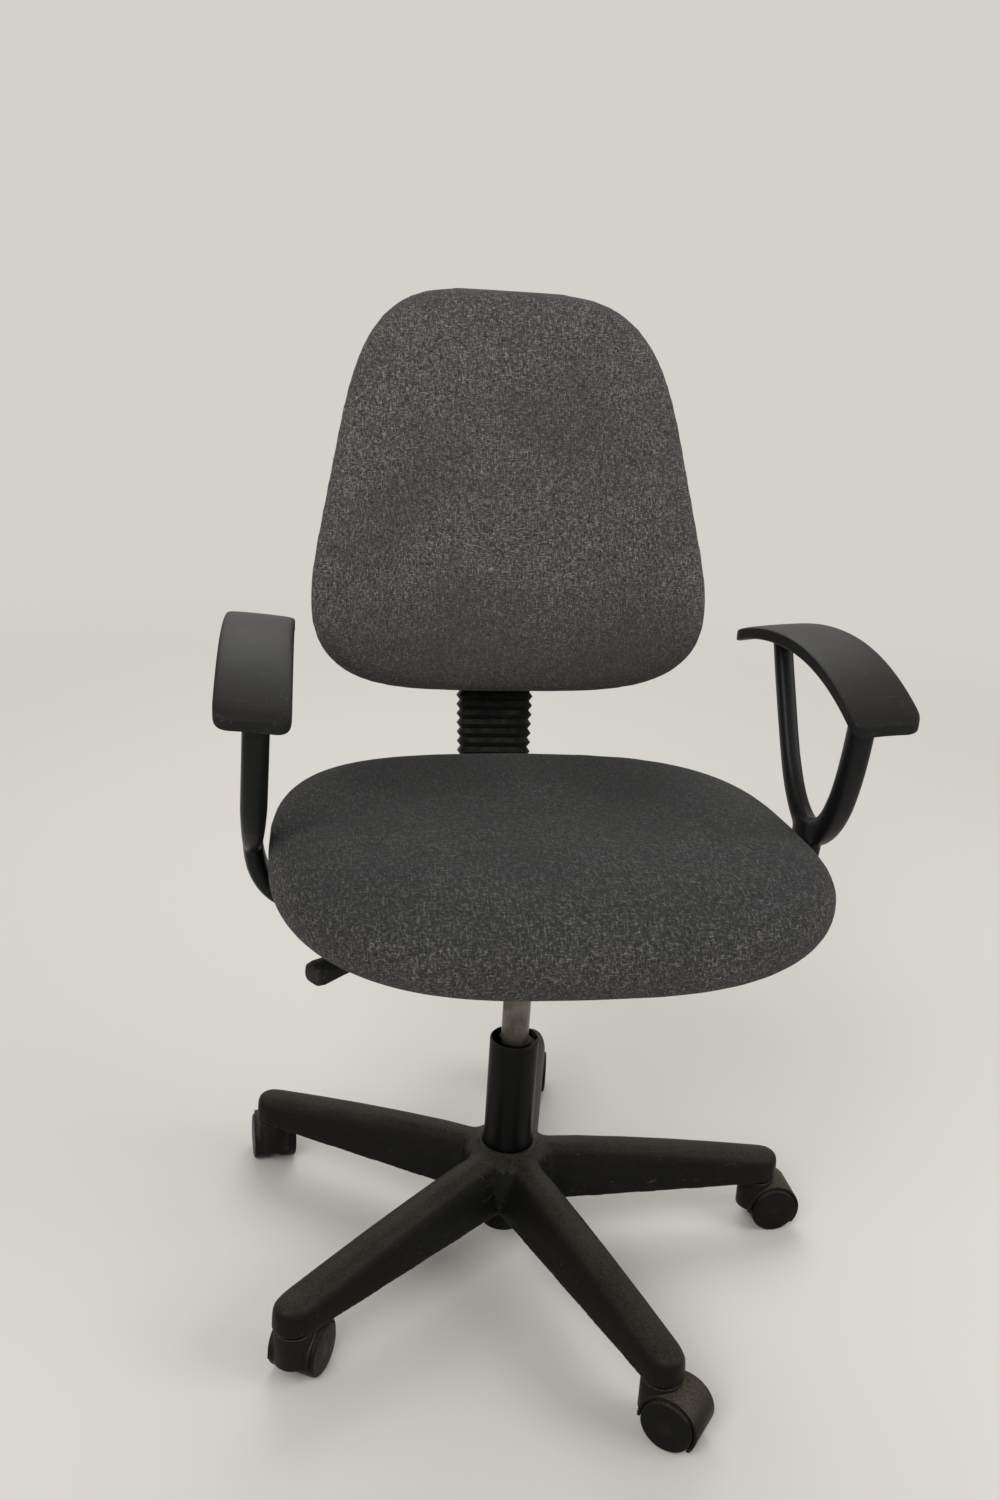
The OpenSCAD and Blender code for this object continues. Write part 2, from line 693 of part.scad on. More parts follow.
gas_path = [
  [4, 0, gas_rod_z], [-housing_wall_x - 14, 0, gas_rod_z],
  [-gas_reach + 82, -72, gas_rod_z - 24], [-gas_reach + 30, -105, gas_rod_z - 29]
];
recline_path = [
  [-18, recline_lever_y, recline_rod_z], [-housing_wall_x - 14, recline_lever_y, recline_rod_z],
  [-tilt_reach + 70, recline_lever_y + 12, recline_rod_z - 8],
  [-tilt_reach + 25, recline_lever_y + 18, recline_rod_z - 9]
];

module lever_rod(path, y, z) {
  color("silver") {
    bar_through(path, lever_d);
    translate([lever_pivot_x, y, z]) rotate([90, 0, 0])
      cylinder(d = lever_pin_d, h = lever_d + 8, center = true, $fn = 32);
  }
}

// Flattened plastic handle pushed over the end of a lever rod, growing towards its outer end
module paddle(path, reach, h_in, h_out) {
  last = path[3];
  step = path[3] - path[2];
  slope = step / norm(step);
  side = [-slope.y, slope.x, 0] / norm([slope.x, slope.y]);
  grip = norm(step) * 0.7;
  length = (reach + last.x) / -slope.x + grip;
  start = last - slope * grip;
  half_w = 13;
  // Share of the length, of the half width and of the height
  stations = [
    [0, 0.55, 0.6], [0.04, 0.75, 0.85], [0.3, 0.9, 0.9], [0.65, 1, 0.8], [0.9, 1, 0.95], [0.98, 0.9, 0.85],
    [1, 0.75, 0.7]
  ];
  color("#1a1a1a") difference() {
    loft([for (s = stations)
      let (tall = mix(h_in, h_out, s[0]) / 2 * s[2], mid = start + slope * length * s[0])
      [for (i = [0:15])
        let (p = super_point(half_w * s[1], tall, 3.2, i * 22.5))
        mid + side * p.x + [0, 0, p.y]]]);
    bar_through([path[2], last + slope], lever_d + 2 * press_gap);
  }
}

module gas_lever() { lever_rod(gas_path, 0, gas_rod_z); }
module gas_paddle() { paddle(gas_path, gas_reach, 13, 20); }
module recline_lever() { lever_rod(recline_path, recline_lever_y, recline_rod_z); }
module recline_paddle() { paddle(recline_path, tilt_reach, 12, 16); }

// ---------- seat ----------

seat_sides = 48;
// Upholstery profile from the underside to the crown, as insets from the widest outline and shares of the
// thickness
seat_profile = [
  [52, 0], [34, 0.075], [20, 0.165], [9, 0.29], [2.5, 0.43], [0, 0.56], [1.5, 0.69], [6, 0.79],
  [14, 0.875], [28, 0.94], [50, 0.98], [85, 1], [130, 1], [175, 1], [seat_d / 2 - 12, 1]
];
board_inset = 56;

function seat_outline(inset, sides) = [for (i = [0:sides - 1])
  let (p = super_point(seat_w / 2 - inset, seat_d / 2 - inset, 3, i * 360 / sides))
  [p.x * (1 - seat_flare * p.y / (seat_d / 2)), p.y - seat_forward]];

// Hollows under the sitter's thighs and the low ridge between them at the front
ridge_h = 4;

function seat_relief(x, y) =
  let (
    dish = bump(abs(x) - seat_w * 0.155, seat_w * 0.13) * bump(y + seat_forward - seat_d * 0.15, seat_d * 0.19),
    ridge = bump(x, seat_w * 0.09) * bump(y + seat_forward + seat_d * 0.2, seat_d * 0.18)
  )
  ridge_h * ridge - seat_dish * dish;

// Fall of the whole upholstery towards the front edge
function front_fall(y) = let (start = -seat_forward - seat_d * 0.2) y < start
  ? -front_drop * pow((start - y) / (seat_d * 0.3), 2) : 0;

module seat_cushion() {
  color("#4a494b") difference() {
    loft([for (s = seat_profile) [for (p = seat_outline(s[0], seat_sides))
      let (relief = max(0, s[1] - 0.5) * 2 * seat_relief(p.x, p.y))
      [p.x, p.y, seat_z0 + front_fall(p.y) + s[1] * seat_thick + relief]]]);
    translate([0, 0, seat_z0 - front_drop - 1]) linear_extrude(board_top_z - seat_z0 + front_drop + 1)
      polygon(seat_outline(board_inset - body_gap, seat_sides));
  }
}

module seat_board() {
  color("burlywood") translate([0, 0, board_z0]) linear_extrude(board_t) difference() {
    polygon(seat_outline(board_inset, seat_sides));
    plate_bolt_spots() circle(d = bolt_hole_d);
    for (s = [-1, 1]) arm_bolt_spots(s) circle(d = bolt_hole_d);
  }
}

module dust_cloth() {
  color("#202020") translate([0, 0, cloth_z0]) linear_extrude(cloth_t) difference() {
    polygon(seat_outline(board_inset, seat_sides));
    plate_bolt_spots() circle(d = bolt_hole_d);
    for (s = [-1, 1]) arm_bolt_spots(s) circle(d = bolt_hole_d);
  }
}

// Hex bolt with its head's upper face at z = 0
module bolt(length) {
  translate([0, 0, -4]) cylinder(d = 11, h = 4, $fn = 6);
  translate([0, 0, -eps]) cylinder(d = bolt_d, h = length);
}

module seat_bolts() {
  color("silver") plate_bolt_spots() translate([0, 0, plate_z0]) bolt(plate_t + cloth_t + board_t - 1);
}

// ---------- armrests ----------
// The left armrest is drawn; the right one is its mirror image.

arm_x = (seat_w + arm_over) / 2;
foot_y = -60;
foot_in_x = 108;
foot_z = cloth_z0 - foot_t / 2;
crest_y = -35;
crest_z = board_z0 + pad_rise;
crest_front_r = 285;
crest_rear_r = 415;
pad_front_y = -178;
pad_rear_y = pad_front_y + pad_len;
rail_t = 6;
rail_w = 24;
pad_roof = 6;
pad_side = 7;
channel_h = 24;
arm_bolt_x = [124, 166];

module arm_bolt_spots(side) {
  for (x = arm_bolt_x) translate([side * x, foot_y, 0]) children();
}

// Height of the pad's crest line at y
function crest(y) =
  let (r = y < crest_y ? crest_front_r : crest_rear_r)
  crest_z - r + sqrt(r * r - pow(y - crest_y, 2));
function unit(v) = v / norm(v);
function bezier(p, t) =
  p[0] * pow(1 - t, 3) + 3 * p[1] * t * pow(1 - t, 2) + 3 * p[2] * t * t * (1 - t) + p[3] * pow(t, 3);

// Exponent of a strut's rounded section, and the growth that keeps its flats on the asked size
strut_round = 2.8;
function strut_flat(sides) = pow(cos(180 / sides), 2 / strut_round);

// Cross-section at one station of a sweep: place, direction of travel, width across and thickness
function strut_ring(place, travel, width, thick, sides) =
  let (
    across = unit([0, 1, 0] - travel * travel.y),
    through = cross(across, travel)
  )
  [for (i = [0:sides - 1])
    let (p = super_point(thick / 2, width / 2, strut_round, (i + 0.5) * 360 / sides) / strut_flat(sides))
    place + through * p.x + across * p.y];

// Sweep along stations of [place, width, thickness]
module sweep(stations, sides) {
  last = len(stations) - 1;
  loft([for (i = [0:last])
    let (travel = unit(stations[min(last, i + 1)][0] - stations[max(0, i - 1)][0]))
    strut_ring(stations[i][0], travel, stations[i][1], stations[i][2], sides)]);
}

strut_low_z = board_z0 + 66;
// The under-seat bow from the foot to the side, seen from the front
bow = [[arm_x - 62, foot_z], [arm_x - 29, foot_z], [arm_x + 7, foot_z + 10], [arm_x + 4, strut_low_z]];
// Rear and front struts, seen from the side
strut_top_drop = pad_roof + rail_t * 0.6;
rear_line = [
  [-34, strut_low_z], [8, strut_low_z + 14], [24, crest_z - 118], [70, crest(70) - strut_top_drop]
];
front_line = [
  [-62, strut_low_z + 2], [-118, strut_low_z + 6], [-128, crest_z - 118], [-138, crest(-138) - strut_top_drop]
];
arm_steps = 8;

function strut_x(z) = mix(arm_x + 4, arm_x + 1.5, min(1, max(0, (z - strut_low_z) / 130)));

module arm_frame() {
  foot = [
    [[foot_in_x, foot_y, foot_z], foot_w * 0.8, foot_t],
    [[foot_in_x + 4, foot_y, foot_z], foot_w, foot_t]
  ];
  under = [for (i = [0:arm_steps]) let (t = i / arm_steps, p = bezier(bow, t))
    [[p.x, mix(foot_y, -46, t), p.y], mix(foot_w, 52, t), mix(foot_t, 17, t * t)]];
  rear = [for (i = [2:arm_steps]) let (t = i / arm_steps, p = bezier(rear_line, t))
    [[strut_x(p.y), p.x, p.y], mix(36, strut_d - 3, min(1, t * 1.8)), mix(19, strut_t - 5, min(1, t * 2))]];
  front = [for (i = [1:arm_steps]) let (t = i / arm_steps, p = bezier(front_line, t))
    [[strut_x(p.y), p.x, p.y], mix(30, strut_d, min(1, t * 1.8)), mix(17, strut_t, min(1, t * 2))]];
  difference() {
    union() {
      sweep(concat(foot, under, rear), 16);
      sweep(front, 16);
      arm_rail();
    }
    for (x = arm_bolt_x) translate([x, foot_y, foot_z - foot_t])
      cylinder(d = bolt_hole_d, h = 2 * foot_t, $fn = 32);
    pad_screw_spots() translate([0, 0, -20]) cylinder(d = screw_hole_d, h = 40, $fn = 32);
  }
}

// Turns things that are drawn upright about the pad's crest line, towards the sitter
module lean() {
  translate([arm_x, 0, crest_z]) rotate([0, -pad_lean, 0]) translate([-arm_x, 0, -crest_z]) children();
}

// Points along the top of the rail, which the roof of the pad's channel rests on
rail_steps = 8;
rail_line = [for (i = [0:rail_steps])
  let (y = mix(pad_front_y + 18, pad_rear_y - 16, i / rail_steps))
  [y, crest(y) - pad_roof]];
screw_steps = [1, 6];
screw_hole_d = 4.4;

module arm_rail() {
  lean() loft([for (p = rail_line) [for (c = [[-1, -1], [-1, 0], [1, 0], [1, -1]])
    [arm_x + c[0] * rail_w / 2, p[0], p[1] + c[1] * rail_t]]]);
}

// Places children under the rail, square to it, in the middle of two of its steps
module pad_screw_spots() {
  for (i = screw_steps) {
    step = rail_line[i + 1] - rail_line[i];
    middle = (rail_line[i + 1] + rail_line[i]) / 2;
    slope = atan2(step[1], step[0]);
    lean() translate([arm_x, middle[0], middle[1]]) rotate([slope, 0, 0])
      translate([0, 0, -rail_t * cos(slope)]) children();
  }
}

// Arched pad, rounded in plan at both ends, with a channel underneath that drops over the rail
module arm_pad() {
  ends = [[0, 0.62, 0.55], [0.012, 0.84, 0.8], [0.035, 0.96, 0.95], [0.075, 1, 1]];
  middle = [for (i = [1:7]) [mix(0.075, 0.925, i / 8), 1, 1]];
  tail = [for (i = [3:-1:0]) [1 - ends[i][0], ends[i][1], ends[i][2]]];
  stations = concat(ends, middle, tail);
  difference() {
    lean() loft([for (s = stations) let (y = mix(pad_front_y, pad_rear_y, s[0]), tall = pad_t * s[2])
      pad_ring(y, pad_w / 2 * s[1], tall, crest(y) - (1 - s[2]) * 3)]);
    lean() loft([for (p = concat([rail_line[0] - [3, 3]], rail_line, [rail_line[rail_steps] + [3, -3]]))
      [for (c = [[-1, -channel_h], [-1, 0], [1, 0], [1, -channel_h]])
        [arm_x + c[0] * (pad_w / 2 - pad_side), p[0], p[1] + c[1]]]]);
    pad_screw_spots() cylinder(d = screw_hole_d, h = rail_t + 4, $fn = 32);
  }
}

// One cross-section of the pad: crowned top, round shoulders and a slightly tucked rim
function pad_ring(y, half_w, tall, top) =
  let (half = [[0.9, -1], [0.99, -0.75], [1, -0.5], [0.965, -0.25], [0.86, -0.1], [0.6, -0.025], [0.25, 0]])
  concat(
    [for (i = [len(half) - 1:-1:0]) [arm_x + half_w * half[i][0], y, top + tall * half[i][1]]],
    [for (i = [0:len(half) - 1]) [arm_x - half_w * half[i][0], y, top + tall * half[i][1]]]
  );

module arm_frame_left() { color("#1e1e1e") at_side(1) arm_frame(); }
module arm_frame_right() { color("#1e1e1e") at_side(-1) arm_frame(); }
module arm_pad_left() { color("#222222") at_side(1) arm_pad(); }
module arm_pad_right() { color("#222222") at_side(-1) arm_pad(); }

module arm_bolts() {
  color("silver") for (s = [-1, 1]) arm_bolt_spots(s)
    translate([0, 0, foot_z - foot_t / 2]) bolt(foot_t + cloth_t + board_t - 1);
}

module pad_screws() {
  head = 2.4;
  color("silver") for (s = [-1, 1]) at_side(s) pad_screw_spots() {
    translate([0, 0, -head]) cylinder(d = 8, h = head, $fn = 32);
    translate([0, 0, -eps]) cylinder(d = 4, h = rail_t + 3.5, $fn = 32);
  }
}

// ---------- back ----------
// Drawn upright with x across, y backwards from the front surface and z up, then leant back.

back_y0 = 180;
back_z0 = board_z0 + 158;
back_low = -30;
back_mid = back_low + back_h / 2;
back_sides = 48;
panel_inset = 18;
shell_inset = 10;
boss_t = 4;
bar_y = back_thick + panel_t + boss_t + body_gap + bar_t / 2;
bracket_z0 = 62;
bracket_h = 118;
bracket_t = 2.5;
bar_top = bracket_z0 + bracket_h + back_travel + 8;
knob_z = bracket_z0 + 36;

module at_back() {
  translate([0, back_y0, back_z0]) rotate([-back_lean, 0, 0]) children();
}

// Outline of the back: broad at the bottom, narrowing upwards, with full round corners
function back_outline(inset, sides) = [for (i = [0:sides - 1])
  let (
    c = super_point(1, 1, 3.7, i * 360 / sides),
    half = back_half_w - 40 * c.y + 7 * c.y * c.y
  )
  [c.x * half * (1 - inset / back_half_w), back_mid + c.y * (back_h / 2) * (1 - inset / (back_h / 2))]];

function back_bow(x) = -x * x / (2 * back_bow_r);

// Ring of the back at an inset from its outline and a depth behind the front surface
function back_ring(inset, depth, sides) =
  [for (p = back_outline(inset, sides)) [p.x, depth + back_bow(p.x), p.y]];

// Solid through rings of [inset, depth], listed from the front to the rear
module back_loft(profile, flip = false) {
  loft([for (i = [len(profile) - 1:-1:0]) back_ring(profile[i][0], profile[i][1], back_sides)], flip);
}

back_profile = [
  [150, 0], [105, -1], [60, 0], [30, 1.5], [14, 5], [5, 12], [0, 22], [0.5, 31], [4, 40],
  [shell_inset, back_thick], [shell_inset + shell_wall, back_thick], [panel_inset, back_thick],
  [50, back_thick], [100, back_thick], [150, back_thick]
];

module back_cushion() {
  color("#4d4c4b") at_back() back_loft(back_profile);
}

module back_panel() {
  color("#2a2a2a") at_back() difference() {
    union() {
      back_loft([[150, back_thick], [100, back_thick], [50, back_thick], [panel_inset, back_thick],
        [panel_inset, back_thick + panel_t], [50, back_thick + panel_t], [150, back_thick + panel_t]], true);
      translate([0, back_thick + 0.5, bracket_z0 + bracket_h / 2]) rotate([-90, 0, 0])
        linear_extrude(panel_t + boss_t - 0.5) round_rect(bar_w + 52, bracket_h + 20, 10);
    }
    back_screw_spots() cylinder(d = screw_hole_d, h = 3 * panel_t, center = true, $fn = 32);
  }
}

module back_screw_spots() {
  for (x = [-1, 1]) for (z = [14, bracket_h - 14])
    translate([x * (bar_w / 2 + 13), back_thick + panel_t + boss_t + bracket_t, bracket_z0 + z])
      rotate([-90, 0, 0]) children();
}

module back_screws() {
  color("silver") at_back() back_screw_spots() {
    cylinder(d = 9, h = 2.4, $fn = 32);
    translate([0, 0, -10]) cylinder(d = 4, h = 10 + eps, $fn = 32);
  }
}

// Hat-shaped steel guide that holds the bar against the panel
module slide_bracket() {
  inner_w = bar_w + 2 * body_gap;
  inner_d = bar_t + 2 * body_gap;
  color("#1b1b1b") at_back() difference() {
    translate([0, back_thick + panel_t + boss_t, bracket_z0]) linear_extrude(bracket_h) difference() {
      union() {
        translate([-inner_w / 2 - bracket_t, 0]) square([inner_w + 2 * bracket_t, inner_d + bracket_t]);
        translate([-inner_w / 2 - 22, 0]) square([inner_w + 44, bracket_t]);
      }
      translate([-inner_w / 2, -1]) square([inner_w, inner_d + 1]);
    }
    back_screw_spots() cylinder(d = screw_hole_d, h = 3 * panel_t, center = true, $fn = 32);
    translate([0, bar_y, knob_z]) rotate([-90, 0, 0]) cylinder(d = knob_stem_d + 2 * run_gap, h = 20);
  }
}

// Rear shell: rings of its outer face; the inner face is the same one wall further in
shell_rise = [[shell_inset, 0], [12, 8], [18, 16], [32, 25], [58, 33], [95, 37], [150, 38]];

rim_draft = 1.1;

module shell_form(wall) {
  stretch = shell_deep / 38;
  rear = [for (s = shell_rise) back_ring(s[0] + wall, back_thick + s[1] * stretch - wall, back_sides)];
  rim = wall > 0
    ? [back_ring(shell_inset + wall + rim_draft, back_thick + 1, back_sides),
      back_ring(shell_inset + wall + rim_draft / 2, back_thick - 2 * wall, back_sides)]
    : [rear[0], back_ring(shell_inset + shell_wall, back_thick, back_sides),
      back_ring(panel_inset, back_thick, back_sides)];
  loft(concat([for (i = [len(rear) - 1:-1:1]) rear[i]], rim), true);
}

module back_shell() {
  slot_w = bellows_w + 6;
  color("#1d1d1d") at_back() difference() {
    shell_form(0);
    shell_form(shell_wall);
    // mouth at the bottom for the bar and its bellows
    translate([-slot_w / 2, back_thick - 20, back_low - 20])
      cube([slot_w, 20 + shell_deep - shell_wall * 2, 62]);
    translate([0, bar_y, knob_z]) rotate([-90, 0, 0]) cylinder(d = knob_stem_d + 6, h = 60);
  }
}

knob_stem_d = 8;

module height_knob() {
  stem_y = bar_y + bar_t / 2 + body_gap;
  knob_y = back_thick + shell_deep + 2;
  color("#161616") at_back() translate([0, stem_y, knob_z]) rotate([-90, 0, 0]) {
    cylinder(d = knob_stem_d, h = knob_y - stem_y + 4);
    translate([0, 0, knob_y - stem_y]) difference() {
      union() {
        cylinder(d1 = knob_d * 0.72, d2 = knob_d, h = 5);
        translate([0, 0, 5 - eps]) cylinder(d = knob_d, h = 9);
        translate([0, 0, 14 - eps]) cylinder(d1 = knob_d, d2 = knob_d - 5, h = 2.5);
      }
      for (a = [0:45:315]) rotate([0, 0, a]) translate([knob_d / 2 + 3.5, 0, -1])
        cylinder(d = 12, h = 20, $fn = 32);
    }
  }
}

// ---------- bar and bellows ----------

lean_sin = sin(back_lean);
lean_cos = cos(back_lean);
// Where the upright's middle line meets the height of the recline axle
bar_corner_y = back_y0 + bar_y * lean_cos - (back_z0 - bar_y * lean_sin - recline_z) * lean_sin / lean_cos;
bend_r = 40;
bend_len = bend_r * tan((90 - back_lean) / 2);
bar_foot = -(back_z0 - bar_y * lean_sin - recline_z) / lean_cos + bend_len;

bend_centre = [bar_corner_y - bend_len, recline_z + bend_r];
upright_way = [lean_sin, lean_cos];
bend_steps = 20;

// Arc round the middle of the bend, between two turns of it in degrees
function bend_arc(r, from, to) = [for (i = [0:bend_steps]) let (a = mix(from, to, i / bend_steps) - 90)
  bend_centre + r * [cos(a), sin(a)]];

// Extrudes an outline drawn in the plane of Y and Z, centred across the chair
module across_chair(w) {
  translate([-w / 2, 0, 0]) rotate([90, 0, 90]) linear_extrude(w) children();
}

module back_bar() {
  eye_d = recline_axle_d + 12;
  tongue = 16;
  full_turn = 90 - back_lean;
  under = bend_arc(bend_r + bar_t / 2, 0, full_turn);
  upper = bend_arc(bend_r - bar_t / 2, full_turn, 0);
  rise = upright_way * (bar_top - bar_foot);
  start = recline_y + tongue - 3;
  color("#1b1b1b") difference() {
    union() {
      across_chair(bar_w) polygon(concat(
        [[start, recline_z - bar_t / 2]], under, [under[bend_steps] + rise, upper[0] + rise], upper,
        [[start, recline_z + bar_t / 2]]));
      translate([-eye_w / 2, recline_y, recline_z - bar_t / 2]) cube([eye_w, tongue, bar_t]);
      translate([0, recline_y, recline_z]) rotate([0, 90, 0]) cylinder(d = eye_d, h = eye_w, center = true);
      // stiffening ribs in the bend
      for (s = [-1, 1]) translate([s * bar_w * 0.3, 0, 0]) across_chair(4)
        polygon(concat(bend_arc(bend_r, 4, full_turn - 4),
          bend_arc(bend_r - bar_t / 2 - 5, full_turn - 4, 4)));
    }
    translate([0, recline_y, recline_z]) rotate([0, 90, 0])
      cylinder(d = recline_axle_d + 2 * run_gap, h = 2 * eye_w, center = true);
  }
}

bellows_top = -12;
bellows_low = bar_foot + 4;

module bellows() {
  folds = floor((bellows_top - bellows_low) / fold_pitch);
  crest_depth = 30;
  collar_h = 6;
  pitch = (bellows_top - bellows_low) / folds;
  rings = [for (i = [0:2 * folds])
    let (z = bellows_low + i * pitch / 2, slim = 8 * (1 - i / (2 * folds)), cut = i % 2 == 0 ? 7 : 0)
    [for (j = [0:19])
      let (p = super_point((bellows_w - slim - cut) / 2, (crest_depth - cut) / 2, 5, j * 18))
      [p.x, bar_y + 1 + p.y, z]]];
  color("#151515") at_back() difference() {
    loft(rings);
    translate([-bar_w / 2 - 1.5, bar_y - 8, bellows_low + collar_h])
      cube([bar_w + 3, 16, bellows_top - bellows_low]);
    translate([-bar_w / 2 - press_gap, bar_y - bar_t / 2 - press_gap, bellows_low - 1])
      cube([bar_w + 2 * press_gap, bar_t + 2 * press_gap, 2 * collar_h]);
  }
}

// ---------- what is drawn ----------

star_base();
column_tube();
guide_bush();
thrust_bearing();
piston_rod();
bump_stop();
column_clip();
pressure_tube();
valve_pin();
mechanism_housing();
mechanism_plate();
recline_axle();
recline_spring();
gas_lever();
gas_paddle();
recline_lever();
recline_paddle();
seat_board();
seat_cushion();
dust_cloth();
seat_bolts();
arm_frame_left();
arm_frame_right();
arm_pad_left();
arm_pad_right();
arm_bolts();
pad_screws();
back_bar();
bellows();
slide_bracket();
back_panel();
back_cushion();
back_shell();
back_screws();
height_knob();
for (k = [1:leg_count]) {
  at_caster(k) caster_stem();
  at_caster(k) caster_hood();
  at_caster(k) caster_axle();
  at_caster(k) caster_wheel(1);
  at_caster(k) caster_wheel(-1);
}
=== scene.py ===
# %% [markdown]
# # A swivel office chair
#
# The working parts of this chair already exist as a fixed frame: the steel, the joints, the base
# and the casters have their real sizes there. This notebook makes what the eye and the hand meet:
# the upholstery, the moulded plastic with its soft edges, and a finish for every surface. The
# frame is loaded first, because every new piece is built on its solids or around them.

# %% Load the frame
import json
import math

import bmesh
import bpy
import numpy as np
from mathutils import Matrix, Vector

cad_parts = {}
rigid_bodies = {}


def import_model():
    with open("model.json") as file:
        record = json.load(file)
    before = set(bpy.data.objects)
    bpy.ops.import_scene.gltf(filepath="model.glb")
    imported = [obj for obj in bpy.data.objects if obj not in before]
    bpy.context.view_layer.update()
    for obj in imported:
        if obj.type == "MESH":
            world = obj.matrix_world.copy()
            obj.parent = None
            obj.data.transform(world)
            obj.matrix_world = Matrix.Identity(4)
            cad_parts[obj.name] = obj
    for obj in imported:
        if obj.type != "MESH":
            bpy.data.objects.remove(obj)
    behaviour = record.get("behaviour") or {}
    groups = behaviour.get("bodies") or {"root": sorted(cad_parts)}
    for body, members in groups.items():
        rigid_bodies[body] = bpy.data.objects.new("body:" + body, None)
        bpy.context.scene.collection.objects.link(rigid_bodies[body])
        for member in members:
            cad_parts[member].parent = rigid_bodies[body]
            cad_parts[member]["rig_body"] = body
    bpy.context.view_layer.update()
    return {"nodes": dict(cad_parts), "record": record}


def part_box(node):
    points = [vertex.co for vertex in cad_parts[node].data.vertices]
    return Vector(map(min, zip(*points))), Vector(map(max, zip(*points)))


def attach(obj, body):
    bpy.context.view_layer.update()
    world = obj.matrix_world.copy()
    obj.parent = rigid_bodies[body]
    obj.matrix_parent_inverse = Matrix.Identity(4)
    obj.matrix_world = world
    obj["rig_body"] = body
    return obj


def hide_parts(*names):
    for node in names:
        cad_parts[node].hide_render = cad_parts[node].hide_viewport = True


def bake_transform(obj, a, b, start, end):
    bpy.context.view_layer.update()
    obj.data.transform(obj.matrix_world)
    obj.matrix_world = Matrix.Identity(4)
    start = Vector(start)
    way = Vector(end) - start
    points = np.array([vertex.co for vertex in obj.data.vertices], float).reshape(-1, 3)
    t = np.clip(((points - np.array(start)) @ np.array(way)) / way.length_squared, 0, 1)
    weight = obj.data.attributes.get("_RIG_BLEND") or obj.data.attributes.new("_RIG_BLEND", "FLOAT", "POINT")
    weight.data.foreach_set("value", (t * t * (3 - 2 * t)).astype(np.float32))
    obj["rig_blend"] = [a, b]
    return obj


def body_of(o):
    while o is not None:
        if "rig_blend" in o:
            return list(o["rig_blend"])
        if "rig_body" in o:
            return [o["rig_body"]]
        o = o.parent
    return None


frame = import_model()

mm = 0.001

# %% [markdown]
# ## The camera
#
# The chair is seen from the height of a standing person's waist, a little more than a metre in
# front of it. A camera could be aimed with a target and a constraint, but typed angles repeat
# exactly. The lens is a moderate wide angle, and the camera leans a little to one side, as a
# hand-held one does.

# %% Camera
camera_place = (-0.2624, -1.2079, 0.9603)
camera_angles = [math.radians(a) for a in (71.664, -3.422, -9.581)]
camera_lens = 32.97

bpy.ops.object.camera_add(location=camera_place, rotation=camera_angles)
camera = bpy.context.object
camera.name = "camera"
camera.data.lens = camera_lens
bpy.context.scene.camera = camera
print("camera stands", round(Vector(camera_place).length, 2), "m from the foot of the column")

# %% [markdown]
# ## Working by hand, in code
#
# Blender's operators act on whatever is selected, so each step starts from a clean selection.
# These helpers are the habits of modelling by hand: put everything down, pick one piece up,
# choose faces by where they are, and apply the modifiers when the shape is right. `mould` moves
# points by a rule, as a sculptor's thumb would.

# %% Selecting
def put_down():
    """Leaves edit mode and deselects every object."""
    if bpy.context.object and bpy.context.object.mode != "OBJECT":
        bpy.ops.object.mode_set(mode="OBJECT")
    bpy.ops.object.select_all(action="DESELECT")


def pick_up(*pieces):
    """Selects these pieces alone, the last one active."""
    put_down()
    for piece in pieces:
        piece.select_set(True)
    bpy.context.view_layer.objects.active = pieces[-1]


def edit(piece, select="SELECT"):
    """Opens a piece in edit mode with all of it, or nothing, selected."""
    pick_up(piece)
    bpy.ops.object.mode_set(mode="EDIT")
    bpy.ops.mesh.select_all(action=select)


def choose(piece, kind, rule):
    """Selects, in edit mode, the vertices, edges or faces that pass a rule."""
    edit(piece, "DESELECT")
    bpy.ops.mesh.select_mode(type=kind)
    work = bmesh.from_edit_mesh(piece.data)
    for part in {"VERT": work.verts, "EDGE": work.edges, "FACE": work.faces}[kind]:
        if rule(part):
            part.select_set(True)
    bmesh.update_edit_mesh(piece.data)


# %% Shaping and finishing
def mould(piece, rule):
    """Moves every point of a piece to where the rule says."""
    put_down()
    for point in piece.data.vertices:
        point.co = rule(point.co.copy())
    piece.data.update()


def modify(piece, kind, **settings):
    """Adds one modifier with its settings."""
    modifier = piece.modifiers.new(kind.lower(), kind)
    for key, value in settings.items():
        setattr(modifier, key, value)
    return modifier


def settle(piece):
    """Bakes place, turn and size into the mesh and applies the modifiers."""
    pick_up(piece)
    bpy.ops.object.transform_apply(location=True, rotation=True, scale=True)
    for modifier in list(piece.modifiers):
        bpy.ops.object.modifier_apply(modifier=modifier.name)


def weld(piece):
    """Joins the doubled points of a loose-faced mesh."""
    edit(piece)
    bpy.ops.mesh.remove_doubles(threshold=0.02 * mm)
    put_down()


def smooth(piece, degrees=40):
    """Shades a piece smooth where its faces meet at less than this angle."""
    pick_up(piece)
    bpy.ops.object.shade_smooth_by_angle(angle=math.radians(degrees))


def copy_of(node, name):
    """A welded copy of a frame part, free to be reshaped."""
    piece = frame["nodes"][node].copy()
    piece.data = piece.data.copy()
    piece.name = name
    piece.parent = None
    piece.matrix_world = frame["nodes"][node].matrix_world
    piece.data.materials.clear()
    bpy.context.scene.collection.objects.link(piece)
    weld(piece)
    return piece


def join(name, *pieces):
    """Makes one object of several."""
    pick_up(*pieces)
    bpy.ops.object.join()
    whole = bpy.context.object
    whole.name = name
    return whole


